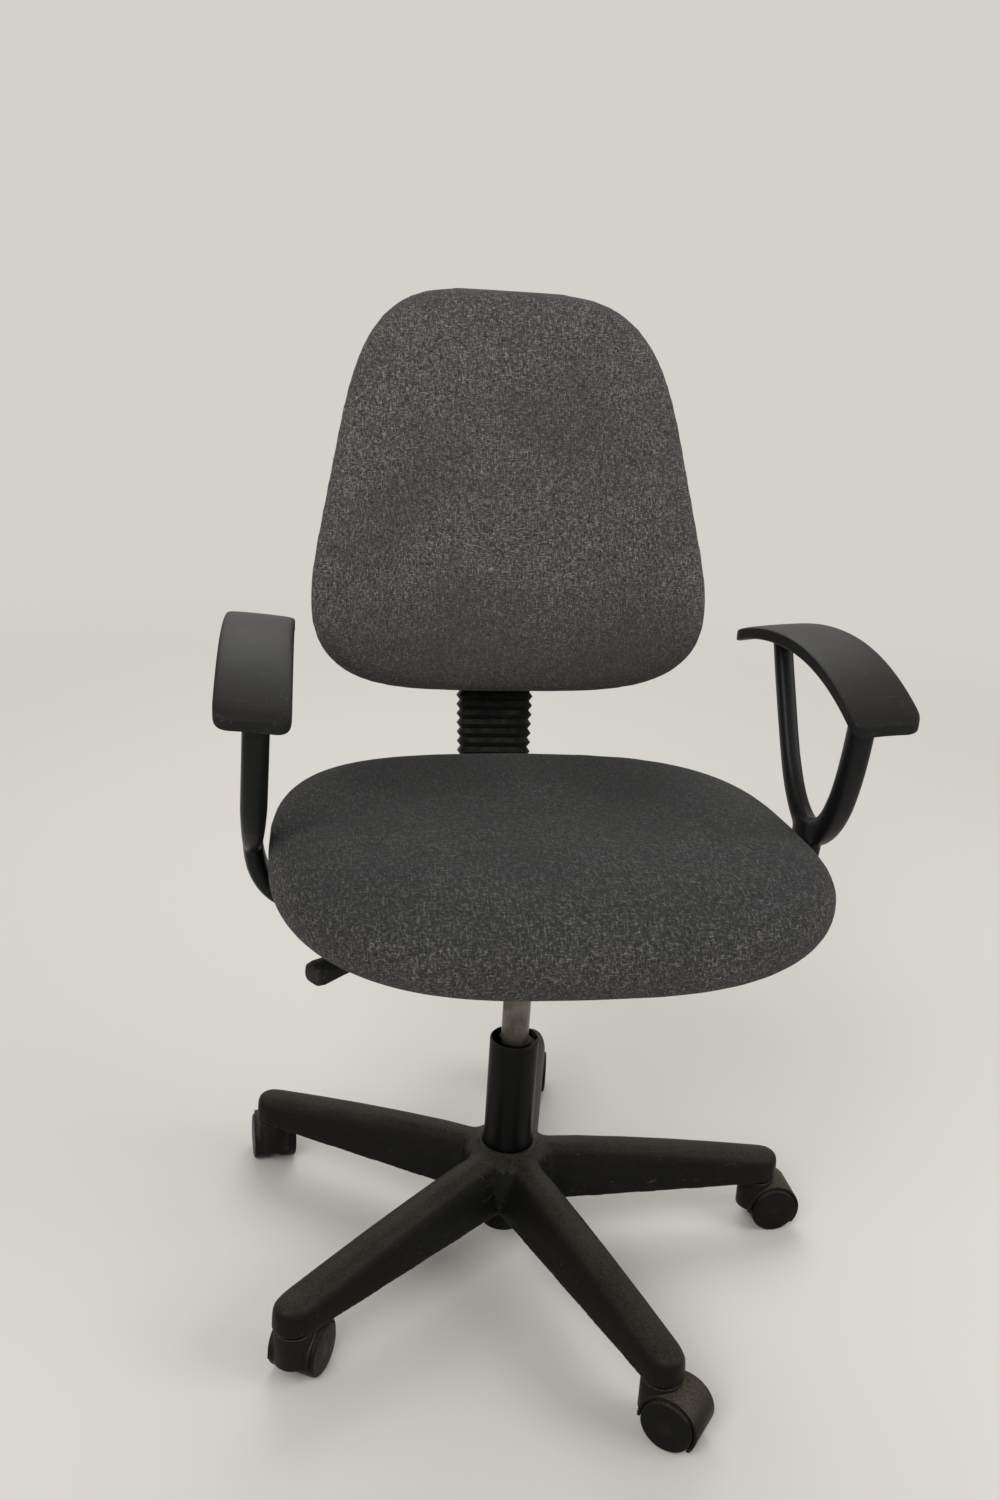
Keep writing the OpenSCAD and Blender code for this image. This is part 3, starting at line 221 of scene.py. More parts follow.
def voxel_skin(piece, voxel, passes):
    """Gives a piece one closed skin of small even faces and relaxes it.

    Solids that overlap melt into one, with soft inner corners as a mould gives them.
    """
    pick_up(piece)
    piece.data.remesh_voxel_size = voxel
    bpy.ops.object.voxel_remesh()
    modify(piece, "SMOOTH", factor=0.5, iterations=passes)
    settle(piece)


def smooth_all_over(piece):
    """Shades a piece smooth with no sharp edge left."""
    pick_up(piece)
    bpy.ops.object.shade_smooth()


def twin(piece, name):
    """The mirror image of a piece, on the other side of the chair."""
    pick_up(piece)
    bpy.ops.object.duplicate()
    other = bpy.context.object
    other.name = name
    mould(other, lambda p: Vector((-p.x, p.y, p.z)))
    edit(other)
    bpy.ops.mesh.flip_normals()
    put_down()
    return other


# %% [markdown]
# ## Tubes from rings
#
# A moulded strut or leg is easiest to think of as a row of cross-sections. It could be swept
# along a curve, but then every section would have the same proportions. Here each section is its
# own rounded rectangle, sized, turned and put in its place, and a bridge closes the skin between
# them.

# %% Rings and bridges
def squircle(a, b, power):
    """Share of the reach at which a direction meets a square with round corners."""
    return 1 / (abs(a) ** power + abs(b) ** power) ** (1 / power)


def add_ring(thick, wide, tilt_x, tilt_y, centre, power=3.2):
    """In edit mode: adds a round-cornered ring, turns it by two tilts in degrees and puts it in place."""
    bpy.ops.mesh.select_all(action="DESELECT")
    bpy.ops.mesh.primitive_circle_add(vertices=24, radius=1, location=(0, 0, 0))
    work = bmesh.from_edit_mesh(bpy.context.object.data)
    for point in work.verts:
        if point.select:
            point.co *= squircle(point.co.x, point.co.y, power)
    bmesh.update_edit_mesh(bpy.context.object.data)
    bpy.ops.transform.resize(value=(thick / 2, wide / 2, 1), center_override=(0, 0, 0))
    for axis, tilt in (("X", tilt_x), ("Y", tilt_y)):
        if tilt:
            bpy.ops.transform.rotate(value=-math.radians(tilt), orient_axis=axis, center_override=(0, 0, 0))
    bpy.ops.transform.translate(value=centre)


def skin_over(name, rings, **shape):
    """Closed tube through rings of (thick, wide, tilt_x, tilt_y, centre)."""
    put_down()
    bpy.ops.mesh.primitive_plane_add(size=1, location=(0, 0, 0))
    piece = bpy.context.object
    piece.name = name
    edit(piece)
    bpy.ops.mesh.delete(type="VERT")
    bpy.ops.mesh.select_mode(type="VERT")
    for ring in rings:
        add_ring(*ring, **shape)
    bpy.ops.mesh.select_all(action="SELECT")
    bpy.ops.mesh.bridge_edge_loops()
    bpy.ops.mesh.select_all(action="DESELECT")
    bpy.ops.mesh.select_non_manifold()
    bpy.ops.mesh.edge_face_add()
    bpy.ops.mesh.select_all(action="SELECT")
    bpy.ops.mesh.normals_make_consistent(inside=False)
    put_down()
    return piece


# %% [markdown]
# ## Wiring a finish
#
# A finish is a small program of nodes. Placing them one by one is slow to read, so `Flow` wraps a
# socket and lets ordinary Python maths add the Math nodes, and `Finish.node` adds any other kind
# in one line. Every pattern reads Object coordinates in metres, so a thread is as wide on the
# seat as on the back and nothing slides when the chair moves.

# %% Flow: maths on sockets
class Flow:
    """A socket of a finish that Python's own maths can work on."""

    def __init__(self, finish, socket):
        self.finish = finish
        self.socket = socket

    def math(self, operation, *values):
        """One Math node on these values."""
        inputs = dict(enumerate(values))
        return self.finish.node("Math", {"operation": operation}, inputs)

    def __add__(self, other):
        return self.math("ADD", self, other)

    def __sub__(self, other):
        return self.math("SUBTRACT", self, other)

    def __rsub__(self, other):
        return self.math("SUBTRACT", other, self)

    def __mul__(self, other):
        return self.math("MULTIPLY", self, other)

    __radd__ = __add__
    __rmul__ = __mul__

    def band(self, low, high):
        """0 below low, 1 above high, and a soft step between; falls where low is the larger."""
        inputs = {"Value": self, "From Min": low, "From Max": high}
        return self.finish.node("MapRange", {"interpolation_type": "SMOOTHSTEP"}, inputs)


# %% Finish: one material being wired
class Finish:
    """A node material. Its methods give the patterns that many surfaces share."""

    def __init__(self, name):
        self.material = bpy.data.materials.new(name)
        self.material.use_nodes = True
        self.tree = self.material.node_tree
        self.surface = self.tree.nodes["Principled BSDF"]
        self.place = self.node("TexCoord", out="Object")
        split = self.node("SeparateXYZ", inputs={0: self.place}).socket.node
        self.x, self.y, self.z = [Flow(self, socket) for socket in split.outputs]

    def node(self, kind, settings=None, inputs=None, out=0):
        """Adds one node: its settings are set first, then the values or links of its sockets."""
        node = self.tree.nodes.new("ShaderNode" + kind)
        for key, value in (settings or {}).items():
            setattr(node, key, value)
        for key, value in (inputs or {}).items():
            self.feed(node.inputs[key], value)
        return Flow(self, node.outputs[out])

    def feed(self, socket, value):
        """Links a Flow to a socket, or sets the socket to a plain value."""
        if isinstance(value, Flow):
            self.tree.links.new(value.socket, socket)
        else:
            socket.default_value = value

    def stretched(self, scale):
        """The object's coordinates, scaled by one number or by one for each axis."""
        factors = (scale,) * 3 if isinstance(scale, (int, float)) else scale
        return self.node("VectorMath", {"operation": "MULTIPLY"}, {0: self.place, 1: factors})

    def noise(self, scale, detail=2.0, roughness=0.5):
        """Cloudy noise around 0.5, its scale in clouds to the metre."""
        inputs = {"Vector": self.stretched(scale), "Scale": 1.0, "Detail": detail, "Roughness": roughness}
        return self.node("TexNoise", inputs=inputs)

    def cells(self, scale, feature="F1"):
        """Distance to the nearest of scattered points, for pores and lint."""
        inputs = {"Vector": self.stretched(scale), "Scale": 1.0}
        return self.node("TexVoronoi", {"feature": feature}, inputs)

    def blend(self, share, under, over):
        """Colour that goes from under to over as share goes from 0 to 1."""
        colours = [c if isinstance(c, Flow) else (*c, 1) for c in (under, over)]
        return self.node("Mix", {"data_type": "RGBA"}, {0: share, 6: colours[0], 7: colours[1]}, out=2)

    def facing_up(self):
        """The upward part of the surface's direction, from -1 to 1."""
        normal = self.node("NewGeometry", out="Normal")
        return Flow(self, self.node("SeparateXYZ", inputs={0: normal}).socket.node.outputs[2])

    def edges(self, low, high):
        """1 on the outer edges of a dense mesh, where wear shows, from how pointed it is there."""
        return self.node("NewGeometry", out="Pointiness").band(low, high)

    def relief(self, height, depth, strength=1.0):
        """Bump of a real depth in metres."""
        inputs = {"Height": height, "Distance": depth, "Strength": strength}
        return self.node("Bump", inputs=inputs, out="Normal")

    def done(self, **sockets):
        """Feeds the surface's sockets and hands back the material."""
        names = {"colour": "Base Color", "roughness": "Roughness", "metallic": "Metallic",
                 "normal": "Normal", "sheen": "Sheen Weight", "sheen_roughness": "Sheen Roughness",
                 "specular": "Specular IOR Level"}
        for key, value in sockets.items():
            if key == "colour" and not isinstance(value, Flow):
                value = (*value, 1)
            self.feed(self.surface.inputs[names[key]], value)
        return self.material


dust_tone = (0.15, 0.128, 0.098)
print("a finish can now be wired in a few lines")

# %% [markdown]
# ## The woven cloth
#
# The cloth is a plain weave of dark melange yarn: each thread is spun from dark and pale fibres,
# so up close the weave is a fine salt-and-pepper, and from afar a warm grey. One noise texture
# would look like stone. Two sets of short streaks, one along each thread direction, are crossed
# by a fine over-and-under pattern instead. The seat is darker where it has been sat on, as wear
# and as painted shade of its hollows. Cloth that faces up is darkened as painted shade against
# the stronger light from above, with some wear, and cloth low down is darkened as painted shade.

# %% Cloth finish
thread_pitch = 1.15 * mm
thigh_x, thigh_reach = 0.1, 1 / 11
thigh_y, thigh_length = 0.06, 0.1


def woven(name, tones, contrast, yarns, threads, shaded_below, sat_on_wear_and_shade=0.0):
    """Melange cloth.

    tones are the dark, middle and pale colours, and a darker one for mottling, wear and painted shade.
    yarns are the streaks to the metre of weft and warp along x, y and z, and threads say how both
    directions follow x, y and z. Two heights give where painted shade towards the bottom begins and
    where it is full, and a last share says how much the seat is darkened where its sitter rests, as wear
    and as painted shade of the hollows there.
    """
    dark, mid, fleck, worn_and_shade_tone = tones
    cloth = Finish(name)
    weft, warp = [cloth.x * a + cloth.y * b + cloth.z * c for a, b, c in threads]
    turn = math.pi / thread_pitch
    over = (weft * turn).math("SINE", weft * turn) * (warp * turn).math("SINE", warp * turn)
    lies_over = over.band(-0.3, 0.3)
    weft_yarn, warp_yarn = [cloth.noise(streaks, 1.5, 0.65) for streaks in yarns]
    pale = weft_yarn.band(0.54, 0.7) * (lies_over * 0.5 + 0.5)
    pale = pale + warp_yarn.band(0.55, 0.7) * (1 - lies_over * 0.5)
    deep = weft_yarn.band(0.5, 0.36) * 0.6 + warp_yarn.band(0.5, 0.36) * 0.6
    tone = cloth.blend(deep, mid, dark)
    tone = cloth.blend(pale * contrast, tone, fleck)
    tone = cloth.blend(cloth.noise(11, 3.0).band(0.4, 0.68) * 0.35, tone, worn_and_shade_tone)
    # Painted shade, with some rubbed wear: cloth that faces up is darkened against the stronger light from
    # above.
    wear_and_top_shade = cloth.facing_up().band(0.55, 1.0) * 0.4
    # Painted shade: cloth below the given heights is darkened towards the bottom.
    tone = cloth.blend(wear_and_top_shade.math("MAXIMUM", wear_and_top_shade, cloth.z.band(*shaded_below) * 0.6), tone, worn_and_shade_tone)
    # Darker where the sitter's thighs rest: wear, and painted shade of the hollows they press.
    if sat_on_wear_and_shade:
        beside = (cloth.x.math("ABSOLUTE", cloth.x) - thigh_x) * (1 / thigh_reach)
        behind = (cloth.y - thigh_y) * (1 / thigh_length)
        tone = cloth.blend((beside * beside + behind * behind).band(1.4, 0.1) * sat_on_wear_and_shade, tone, worn_and_shade_tone)
    lint = cloth.cells(80).band(0.06, 0.03) * cloth.noise(29, 1.0).band(0.58, 0.62)
    tone = cloth.blend(lint * 0.6, tone, (0.42, 0.4, 0.37))
    height = over * 0.5 + weft_yarn * 0.7 + warp_yarn * 0.7 + cloth.noise(2400) * 0.3
    return cloth.done(colour=tone, roughness=0.95, sheen=0.03, sheen_roughness=0.6, specular=0.15,
                      normal=cloth.relief(height, 0.5 * mm, 0.8))


# The fourth tone of each cloth is darker, for mottling, wear and painted shade.
seat_cloth = woven(
    "seat_cloth", contrast=0.6, shaded_below=(0.44, 0.41), sat_on_wear_and_shade=0.5,
    tones=((0.018, 0.0178, 0.0175), (0.043, 0.042, 0.0415), (0.2, 0.195, 0.19), (0.024, 0.0236, 0.0232)),
    yarns=((250, 400, 820), (680, 130, 270)), threads=((1, 0.0, 0.6), (0.0, 1, 1)))
back_cloth = woven(
    "back_cloth", contrast=0.6, shaded_below=(0.7, 0.59),
    tones=((0.026, 0.0248, 0.024), (0.08, 0.0755, 0.072), (0.31, 0.295, 0.28), (0.045, 0.0428, 0.0414)),
    yarns=((220, 780, 780), (780, 220, 210)), threads=((1, 0.6, 0.0), (0.0, 0.8, 1)))

# %% [markdown]
# ## Moulded plastic
#
# The armrests are a rubbery black plastic with a fine leather-like grain, greyed by hands on top.
# The base is glass-filled nylon: matt, a little brown, dusty wherever dust can settle, and pale
# along the edges that feet have rubbed. One recipe serves them and the other mouldings, since they
# differ only in numbers.

# %% Plastic finishes
def plastic(name, tone, gloss, specular, grain, dust, scuffs, wear=0.0, wear_tone=None):
    """Moulded plastic with grain, settled dust, scratches and, where wear is given, edges paled by wear."""
    part = Finish(name)
    cloudy = part.noise(17, 4.0, 0.6)
    patches = part.noise(70, 4.0, 0.7)
    specks = part.noise(420, 2.0, 0.6)
    upward = part.facing_up().band(0.25, 1.0)
    settled = upward * (cloudy * 0.5 + specks * 0.9).band(0.3, 0.95) * dust
    long_marks = part.noise((22, 900, 700), 1.0).band(0.68, 0.74)
    cross_marks = part.noise((800, 30, 500), 1.0).band(0.69, 0.75)
    marks = (long_marks + cross_marks) * patches.band(0.5, 0.62) * scuffs
    colour = part.blend(patches.band(0.35, 0.7) * 0.3, tone, [c * 1.5 for c in tone])
    colour = part.blend(settled, colour, dust_tone)
    colour = part.blend(marks, colour, [c * 3.0 + 0.03 for c in tone])
    if wear:
        wear_and_top_shade = part.edges(0.52, 0.6) * patches.band(0.35, 0.65) * wear
        colour = part.blend(wear_and_top_shade, colour, wear_tone)
    pores = part.cells(grain)
    roughness = (patches - 0.5) * 0.14 + settled * 0.4 + marks * 0.15 + gloss
    height = pores * 0.6 + marks * -0.4 + specks * 0.5
    return part.done(colour=colour, roughness=roughness, specular=specular,
                     normal=part.relief(height, 0.12 * mm, 0.7))


arm_plastic = plastic("arm_plastic", (0.0062, 0.0062, 0.0066), gloss=0.38, specular=0.14, grain=900,
                      dust=0.03, scuffs=0.4, wear=0.25, wear_tone=(0.03, 0.03, 0.03))
pad_plastic = plastic("pad_plastic", (0.0115, 0.0113, 0.0113), gloss=0.46, specular=0.09, grain=700,
                      dust=0.03, scuffs=0.8, wear=0.35, wear_tone=(0.05, 0.048, 0.046))
base_nylon = plastic("base_nylon", (0.0048, 0.0047, 0.0044), gloss=0.46, specular=0.09, grain=500,
                     dust=0.19, scuffs=0.9, wear=0.8, wear_tone=(0.06, 0.056, 0.05))
caster_nylon = plastic("caster_nylon", (0.006, 0.0057, 0.0051), gloss=0.5, specular=0.1, grain=600,
                       dust=0.42, scuffs=0.7)
wheel_nylon = plastic("wheel_nylon", (0.0045, 0.0044, 0.0042), gloss=0.42, specular=0.09, grain=600,
                      dust=0.25, scuffs=0.6)
shell_plastic = plastic("shell_plastic", (0.009, 0.009, 0.009), gloss=0.46, specular=0.2, grain=420,
                        dust=0.12, scuffs=0.5)

# %% [markdown]
# ## Rubber, paint and bare steel
#
# The bellows are soft black rubber with grey bloom in the folds. The column is painted and has
# kept its gloss; the gas spring's tube above it is bare drawn steel, dull and smeared with old
# grease, with fine lines round it from the seal. Hidden fixings are zinc-plated, the board under
# the seat is plywood, and the dust cloth below it is a thin pressed web. Each gets a short recipe
# of its own, because they share little but the dust.

# %% Rubber, paint, steel, board and dust cloth
def rubber():
    """Soft black rubber with bloom and settled dust."""
    part = Finish("rubber")
    bloom = part.noise(60, 3.0).band(0.45, 0.75)
    colour = part.blend(bloom * 0.5, (0.0036, 0.0036, 0.0035), (0.011, 0.0107, 0.01))
    settled = part.facing_up().band(0.35, 0.95) * part.noise(90, 3.0).band(0.35, 0.7)
    colour = part.blend(settled * 0.16, colour, dust_tone)
    return part.done(colour=colour, roughness=bloom * 0.2 + 0.5, specular=0.12,
                     normal=part.relief(part.noise(700), 0.08 * mm, 0.5))


def black_paint(name, tone, gloss, dust):
    """Black paint with orange peel, smears and dust on top."""
    part = Finish(name)
    orange_peel = part.noise(420, 2.0)
    smears = part.noise((30, 30, 9), 3.0).band(0.42, 0.7)
    settled = part.facing_up().band(0.4, 1.0) * dust
    colour = part.blend(smears * 0.5, tone, [c * 2.4 for c in tone])
    colour = part.blend(settled, colour, dust_tone)
    return part.done(colour=colour, roughness=smears * 0.14 + settled * 0.3 + gloss, specular=0.1,
                     normal=part.relief(orange_peel, 0.05 * mm, 0.5))


def drawn_steel(name, tone, greasy, roughness, along_z=True):
    """Bare metal with smudges of grease. Fine lines run round it where it stands along z."""
    part = Finish(name)
    lines = part.noise((40, 40, 2600) if along_z else (900, 900, 900), 3.0, 0.7)
    smudges = part.noise((55, 55, 26), 4.0, 0.6).band(0.36, 0.68)
    colour = part.blend(lines.band(0.3, 0.7), tone, [c * 0.72 for c in tone])
    colour = part.blend(smudges * greasy, colour, (0.075, 0.062, 0.045))
    return part.done(colour=colour, metallic=1.0 - smudges * 0.5 * greasy,
                     roughness=lines * 0.12 + smudges * 0.25 + roughness,
                     normal=part.relief(lines, 0.02 * mm, 0.4))


def beech_board():
    """Beech plywood with its rings along x."""
    part = Finish("beech_board")
    rings = part.noise((9, 160, 160), 3.0)
    colour = part.blend(rings.band(0.35, 0.7), (0.55, 0.39, 0.23), (0.36, 0.23, 0.12))
    return part.done(colour=colour, roughness=0.65, normal=part.relief(rings, 0.1 * mm, 0.5))


def non_woven():
    """Thin black web of pressed fibres."""
    part = Finish("non_woven")
    web = part.cells(420, "F2") - part.cells(420)
    colour = part.blend(web.band(0.0, 0.5), (0.035, 0.034, 0.033), (0.012, 0.012, 0.012))
    return part.done(colour=colour, roughness=0.95, normal=part.relief(web, 0.15 * mm, 0.8))


black_rubber = rubber()
column_paint = black_paint("column_paint", (0.003, 0.003, 0.003), 0.32, 0.15)
steel_paint = black_paint("steel_paint", (0.008, 0.008, 0.008), 0.42, 0.3)
gas_tube_steel = drawn_steel("gas_tube_steel", (0.2, 0.188, 0.17), 0.85, 0.32)
zinc = drawn_steel("zinc", (0.6, 0.59, 0.56), 0.25, 0.3, along_z=False)
board_wood = beech_board()
dust_cloth_web = non_woven()

# %% [markdown]
# ## Dressing the frame
#
# Most of the hardware already has its true shape in the frame, so it only needs its finish. The
# table below says which finish goes on which part; the casters repeat five times, so their names
# are matched by how they begin.

# %% Finishes on the frame's own parts
worn_by = {
    "star_base": base_nylon, "column_tube": column_paint, "guide_bush": wheel_nylon,
    "thrust_bearing": zinc, "piston_rod": zinc, "bump_stop": black_rubber, "column_clip": zinc,
    "pressure_tube": gas_tube_steel, "valve_pin": zinc,
    "mechanism": steel_paint, "recline_axle": zinc, "recline_spring": steel_paint,
    "gas_lever": zinc, "recline_lever": zinc, "gas_paddle": pad_plastic, "recline_paddle": pad_plastic,
    "seat_board": board_wood, "seat_cushion": seat_cloth, "dust_cloth": dust_cloth_web,
    "seat_bolts": zinc,
    "arm_frame": arm_plastic, "arm_pad": pad_plastic, "arm_bolts": zinc, "pad_screws": zinc,
    "back_bar": steel_paint, "bellows": black_rubber, "slide_bracket": steel_paint,
    "back_panel": shell_plastic, "back_cushion": back_cloth, "back_shell": shell_plastic,
    "back_screws": zinc, "height_knob": arm_plastic,
    "caster_stem": zinc, "caster_hood": caster_nylon, "caster_axle": zinc, "caster_wheel": wheel_nylon,
}
for name, part in frame["nodes"].items():
    finish = next(f for start, f in worn_by.items() if name.startswith(start))
    part.data.materials.clear()
    part.data.materials.append(finish)
print("finishes on", len(frame["nodes"]), "parts")


def dress(piece, body, finish, slot, *nodes):
    """Gives a piece its finish, its body or pair of bodies, and the frame parts that it replaces."""
    piece.data.materials.clear()
    piece.data.materials.append(finish)
    if isinstance(body, str):
        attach(piece, body)
    else:
        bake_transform(piece, body["low"], body["high"], start=body["start"], end=body["end"])
    if nodes:
        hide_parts(*nodes)
    print(piece.name, "has", len(piece.data.polygons), "faces")

# %% [markdown]
# ## Upholstery
#
# The seat is a moulded foam pad over a plywood board, with the cloth pulled tight and stapled
# underneath, and the back is a thinner pad of the same kind. A subdivided box could stand for
# them, but it would look like plastic. Each pad starts as a copy of its own solid, drawn in a
# little, and a cloth simulation with air pressure fills it until the cover is tight. The foam
# keeps the cover from sinking, so only its outward movement counts, and the part that lies on
# wood is held still.

# %% Fill a pad
cloth_steps = 20


def resting(piece, rule):
    """Share of freedom of every point, from 0 where the pad lies on something to 1 in the open."""
    return np.array([min(1.0, max(0.0, rule(p.co))) for p in piece.data.vertices])[:, None]


def mesh_points(piece, places):
    """Puts the points of a piece in these places."""
    piece.data.vertices.foreach_set("co", places.ravel())
    piece.data.update()


def upholster(node, name, voxel, draw_in, pressure, swell, free):
    """Turns a copy of a solid into a filled pad.

    The copy is first drawn in. swell is how far the foam at least holds the cover out, and how far it may
    go; free is a rule for how free each point is to move.
    """
    pad = copy_of(node, name)
    voxel_skin(pad, voxel, 6)
    share = resting(pad, free)
    places = np.array([p.co for p in pad.data.vertices])
    outwards = np.array([p.normal for p in pad.data.vertices])
    start = places - outwards * draw_in * share
    mesh_points(pad, start)
    cover = modify(pad, "CLOTH")
    cover.settings.use_pressure = True
    cover.settings.uniform_pressure_force = pressure
    cover.settings.effector_weights.gravity = 0
    for step in range(1, cloth_steps + 1):
        bpy.context.scene.frame_set(step)
    settle(pad)
    bpy.context.scene.frame_set(1)
    moved = np.array([p.co for p in pad.data.vertices]) - start
    rise = np.clip((moved * outwards).sum(axis=1), *swell)[:, None] * share
    mesh_points(pad, start + outwards * rise)
    modify(pad, "SMOOTH", factor=0.5, iterations=8)
    modify(pad, "SUBSURF", levels=1, render_levels=1)
    settle(pad)
    smooth_all_over(pad)
    print(name, "swelled by", round(1000 * float(rise.mean()), 1), "mm on average")
    return pad


# %% Seat
board_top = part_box("seat_board")[1][2]
seat_pad = upholster("seat_cushion", "seat_upholstery", 5.5 * mm, 5 * mm, 4.0, (5.5 * mm, 8 * mm),
                     lambda p: (p.z - board_top) / (14 * mm))
dress(seat_pad, "seat", seat_cloth, "seat_fabric", "seat_cushion")

# %% Back
# The same driving sizes as the back has in the frame.
lean = math.radians(13)
back_foot = Vector((0, 0.18, 0.5896))
back_thickness = 46 * mm
hollow_radius = 0.345


def depth_in_back(p):
    """How far a point lies behind the back's front surface, square to it."""
    flat = (p.y - back_foot.y) * math.cos(lean) - (p.z - back_foot.z) * math.sin(lean)
    return flat + p.x ** 2 / (2 * hollow_radius)


back_pad = upholster("back_cushion", "back_upholstery", 5 * mm, 4 * mm, 4.0, (5 * mm, 7 * mm),
                     lambda p: (back_thickness - 5 * mm - depth_in_back(p)) / (12 * mm))
dress(back_pad, "backrest", back_cloth, "back_fabric", "back_cushion")

# %% [markdown]
# ## Armrests
#
# Each armrest is one moulding: a flat foot bolted under the seat, a bow that comes out sideways
# and up, and two struts that part and carry a rail. The mould gives soft inner corners where the
# limbs meet. Modelling those by hand would take many loops, so the limbs are drawn as tubes of
# their own, melted into one skin, and relaxed.

# %% Curves of the armrest
# Places and radii are those of the armrest in the frame; the struts follow curves of their own.
arm_x = 0.259
foot_y, foot_z = -0.06, 0.427
low_z = 0.4976
crest_y, crest_z = -0.035, 0.6776
front_radius, rear_radius = 0.285, 0.415
strut_rise = 0.13
rail_front, rail_rear, rail_drop = -0.16, 0.092, 9.6 * mm
parting_y = -0.046


def along(points, t):
    """Place on the smooth curve that four points pull."""
    s = 1 - t
    return Vector([s ** 3 * a + 3 * s * s * t * b + 3 * s * t * t * c + t ** 3 * d
                   for a, b, c, d in zip(*points)])


def mix(a, b, t):
    """Value between a and b, held at either end."""
    return a + (b - a) * min(1.0, max(0.0, t))


def crest(y):
    """Height of the pad's ridge at y."""
    radius = front_radius if y < crest_y else rear_radius
    return crest_z - radius + math.sqrt(radius ** 2 - (y - crest_y) ** 2)


def strut_x(z):
    """Sideways place of the struts, which lean a little inwards as they rise."""
    return mix(arm_x + 4 * mm, arm_x + 1.5 * mm, (z - low_z) / strut_rise)


# A line is four points that pull a curve from the first to the last: (x, z) for the bow, and
# (y, z) for the struts.
bow = [(arm_x - 0.062, foot_z), (arm_x - 0.029, foot_z), (arm_x + 0.007, foot_z + 0.01),
       (arm_x + 0.004, low_z)]
rear_line = [(-0.068, low_z - 0.009), (0.002, low_z - 0.006), (0.018, crest_z - 0.125),
             (0.07, crest(0.07) - rail_drop)]
front_line = [(-0.038, low_z - 0.009), (-0.106, low_z - 0.004), (-0.128, crest_z - 0.118),
              (-0.138, crest(-0.138) - rail_drop)]


# %% Limbs of one armrest
def bow_rings(count):
    """From the flat foot under the seat, outwards and up to where the struts part."""
    rings = [(8 * mm, 37 * mm, 0, 90, (0.108, foot_y, foot_z)),
             (8 * mm, 46 * mm, 0, 90, (0.112, foot_y, foot_z))]
    for step in range(count + 1):
        t = step / count
        place, ahead = along(bow, t), along(bow, t + 0.01)
        turn = math.degrees(math.atan2(ahead.x - place.x, ahead.y - place.y))
        rings.append((mix(8 * mm, 18 * mm, t * 1.3), mix(46 * mm, 50 * mm, t), 0, turn,
                      (place.x, mix(foot_y, parting_y, t), place.y)))
    rings.append((17 * mm, 40 * mm, 0, 0, (arm_x + 4 * mm, parting_y - mm, low_z + 4 * mm)))
    return rings


def strut_rings(line, count, wide, thick):
    """From the low point up to the rail, along a line in y and z."""
    rings = []
    for step in range(count + 1):
        t = step / count
        place, ahead = along(line, t), along(line, t + 0.01)
        turn = math.degrees(math.atan2(place.x - ahead.x, ahead.y - place.y))
        rings.append((mix(thick[0], thick[1], t * 2), mix(wide[0], wide[1], t * 1.8), turn, 0,
                      (strut_x(place.y), place.x, place.y)))
    return rings


def rail_rings(count):
    """The flat rail under the pad."""
    rings = []
    for step in range(count + 1):
        y = mix(rail_front, rail_rear, step / count)
        turn = math.degrees(math.atan2(crest(y + mm) - crest(y), mm))
        rings.append((24 * mm, 6 * mm, turn - 90, 0, (arm_x, y, crest(y) - rail_drop + 0.5 * mm)))
    return rings


limbs = [skin_over("bow", bow_rings(14)),
         skin_over("rear_strut", strut_rings(rear_line, 18, (31 * mm, 18 * mm), (15 * mm, 18 * mm))),
         skin_over("front_strut", strut_rings(front_line, 18, (30 * mm, 21 * mm), (15 * mm, 23 * mm))),
         skin_over("rail", rail_rings(18), power=8)]
arm_left = join("armrest_left", *limbs)
voxel_skin(arm_left, 1.8 * mm, 14)
smooth(arm_left, 60)
arm_right = twin(arm_left, "armrest_right")
dress(arm_left, "seat", arm_plastic, "arm_plastic", "arm_frame_left")
dress(arm_right, "seat", arm_plastic, "arm_plastic", "arm_frame_right")

# %% [markdown]
# ## Arm pads
#
# A pad is a rubbery cap that drops over the rail: crowned across, arched along, blunt and round
# at both ends, and hollow underneath. It starts as a cube cut into many squares, because every
# later step is then a rule about where a point of the cube belongs on the pad.

# %% Arm pad
pad_front, pad_rear = -0.178, 0.108
pad_half, pad_thick = 31 * mm, 13 * mm
pad_lean, pad_toe = math.radians(5), math.radians(2)
blunt_from, blunt_round = 0.925, 2.4
end_width = 0.68
edge_droop, crown = 4 * mm, 0.7 * mm


def pad_place(p):
    """Place on the pad for a point of the cube from -1 to 1."""
    along_pad = math.sin(math.pi / 2 * p.y)
    blunt = max(0.0, (abs(along_pad) - blunt_from) / (1 - blunt_from))
    narrow = end_width + (1 - end_width) * max(0.0, 1 - blunt ** blunt_round) ** (1 / blunt_round)
    section = max(abs(p.x), abs(p.z)) * squircle(p.x, p.z, 9)
    y = mix(pad_front, pad_rear, (along_pad + 1) / 2)
    across = pad_half * p.x * section * narrow
    up = pad_thick / 2 * (p.z * section * narrow - 1)
    droop = (1 - narrow) * edge_droop + crown * (p.x * section) ** 2
    lean_x, lean_z = across * math.cos(pad_lean), across * math.sin(pad_lean)
    x = arm_x + lean_x - (y - crest_y) * math.tan(pad_toe)
    return Vector((x, y, crest(y) + up - droop + lean_z))


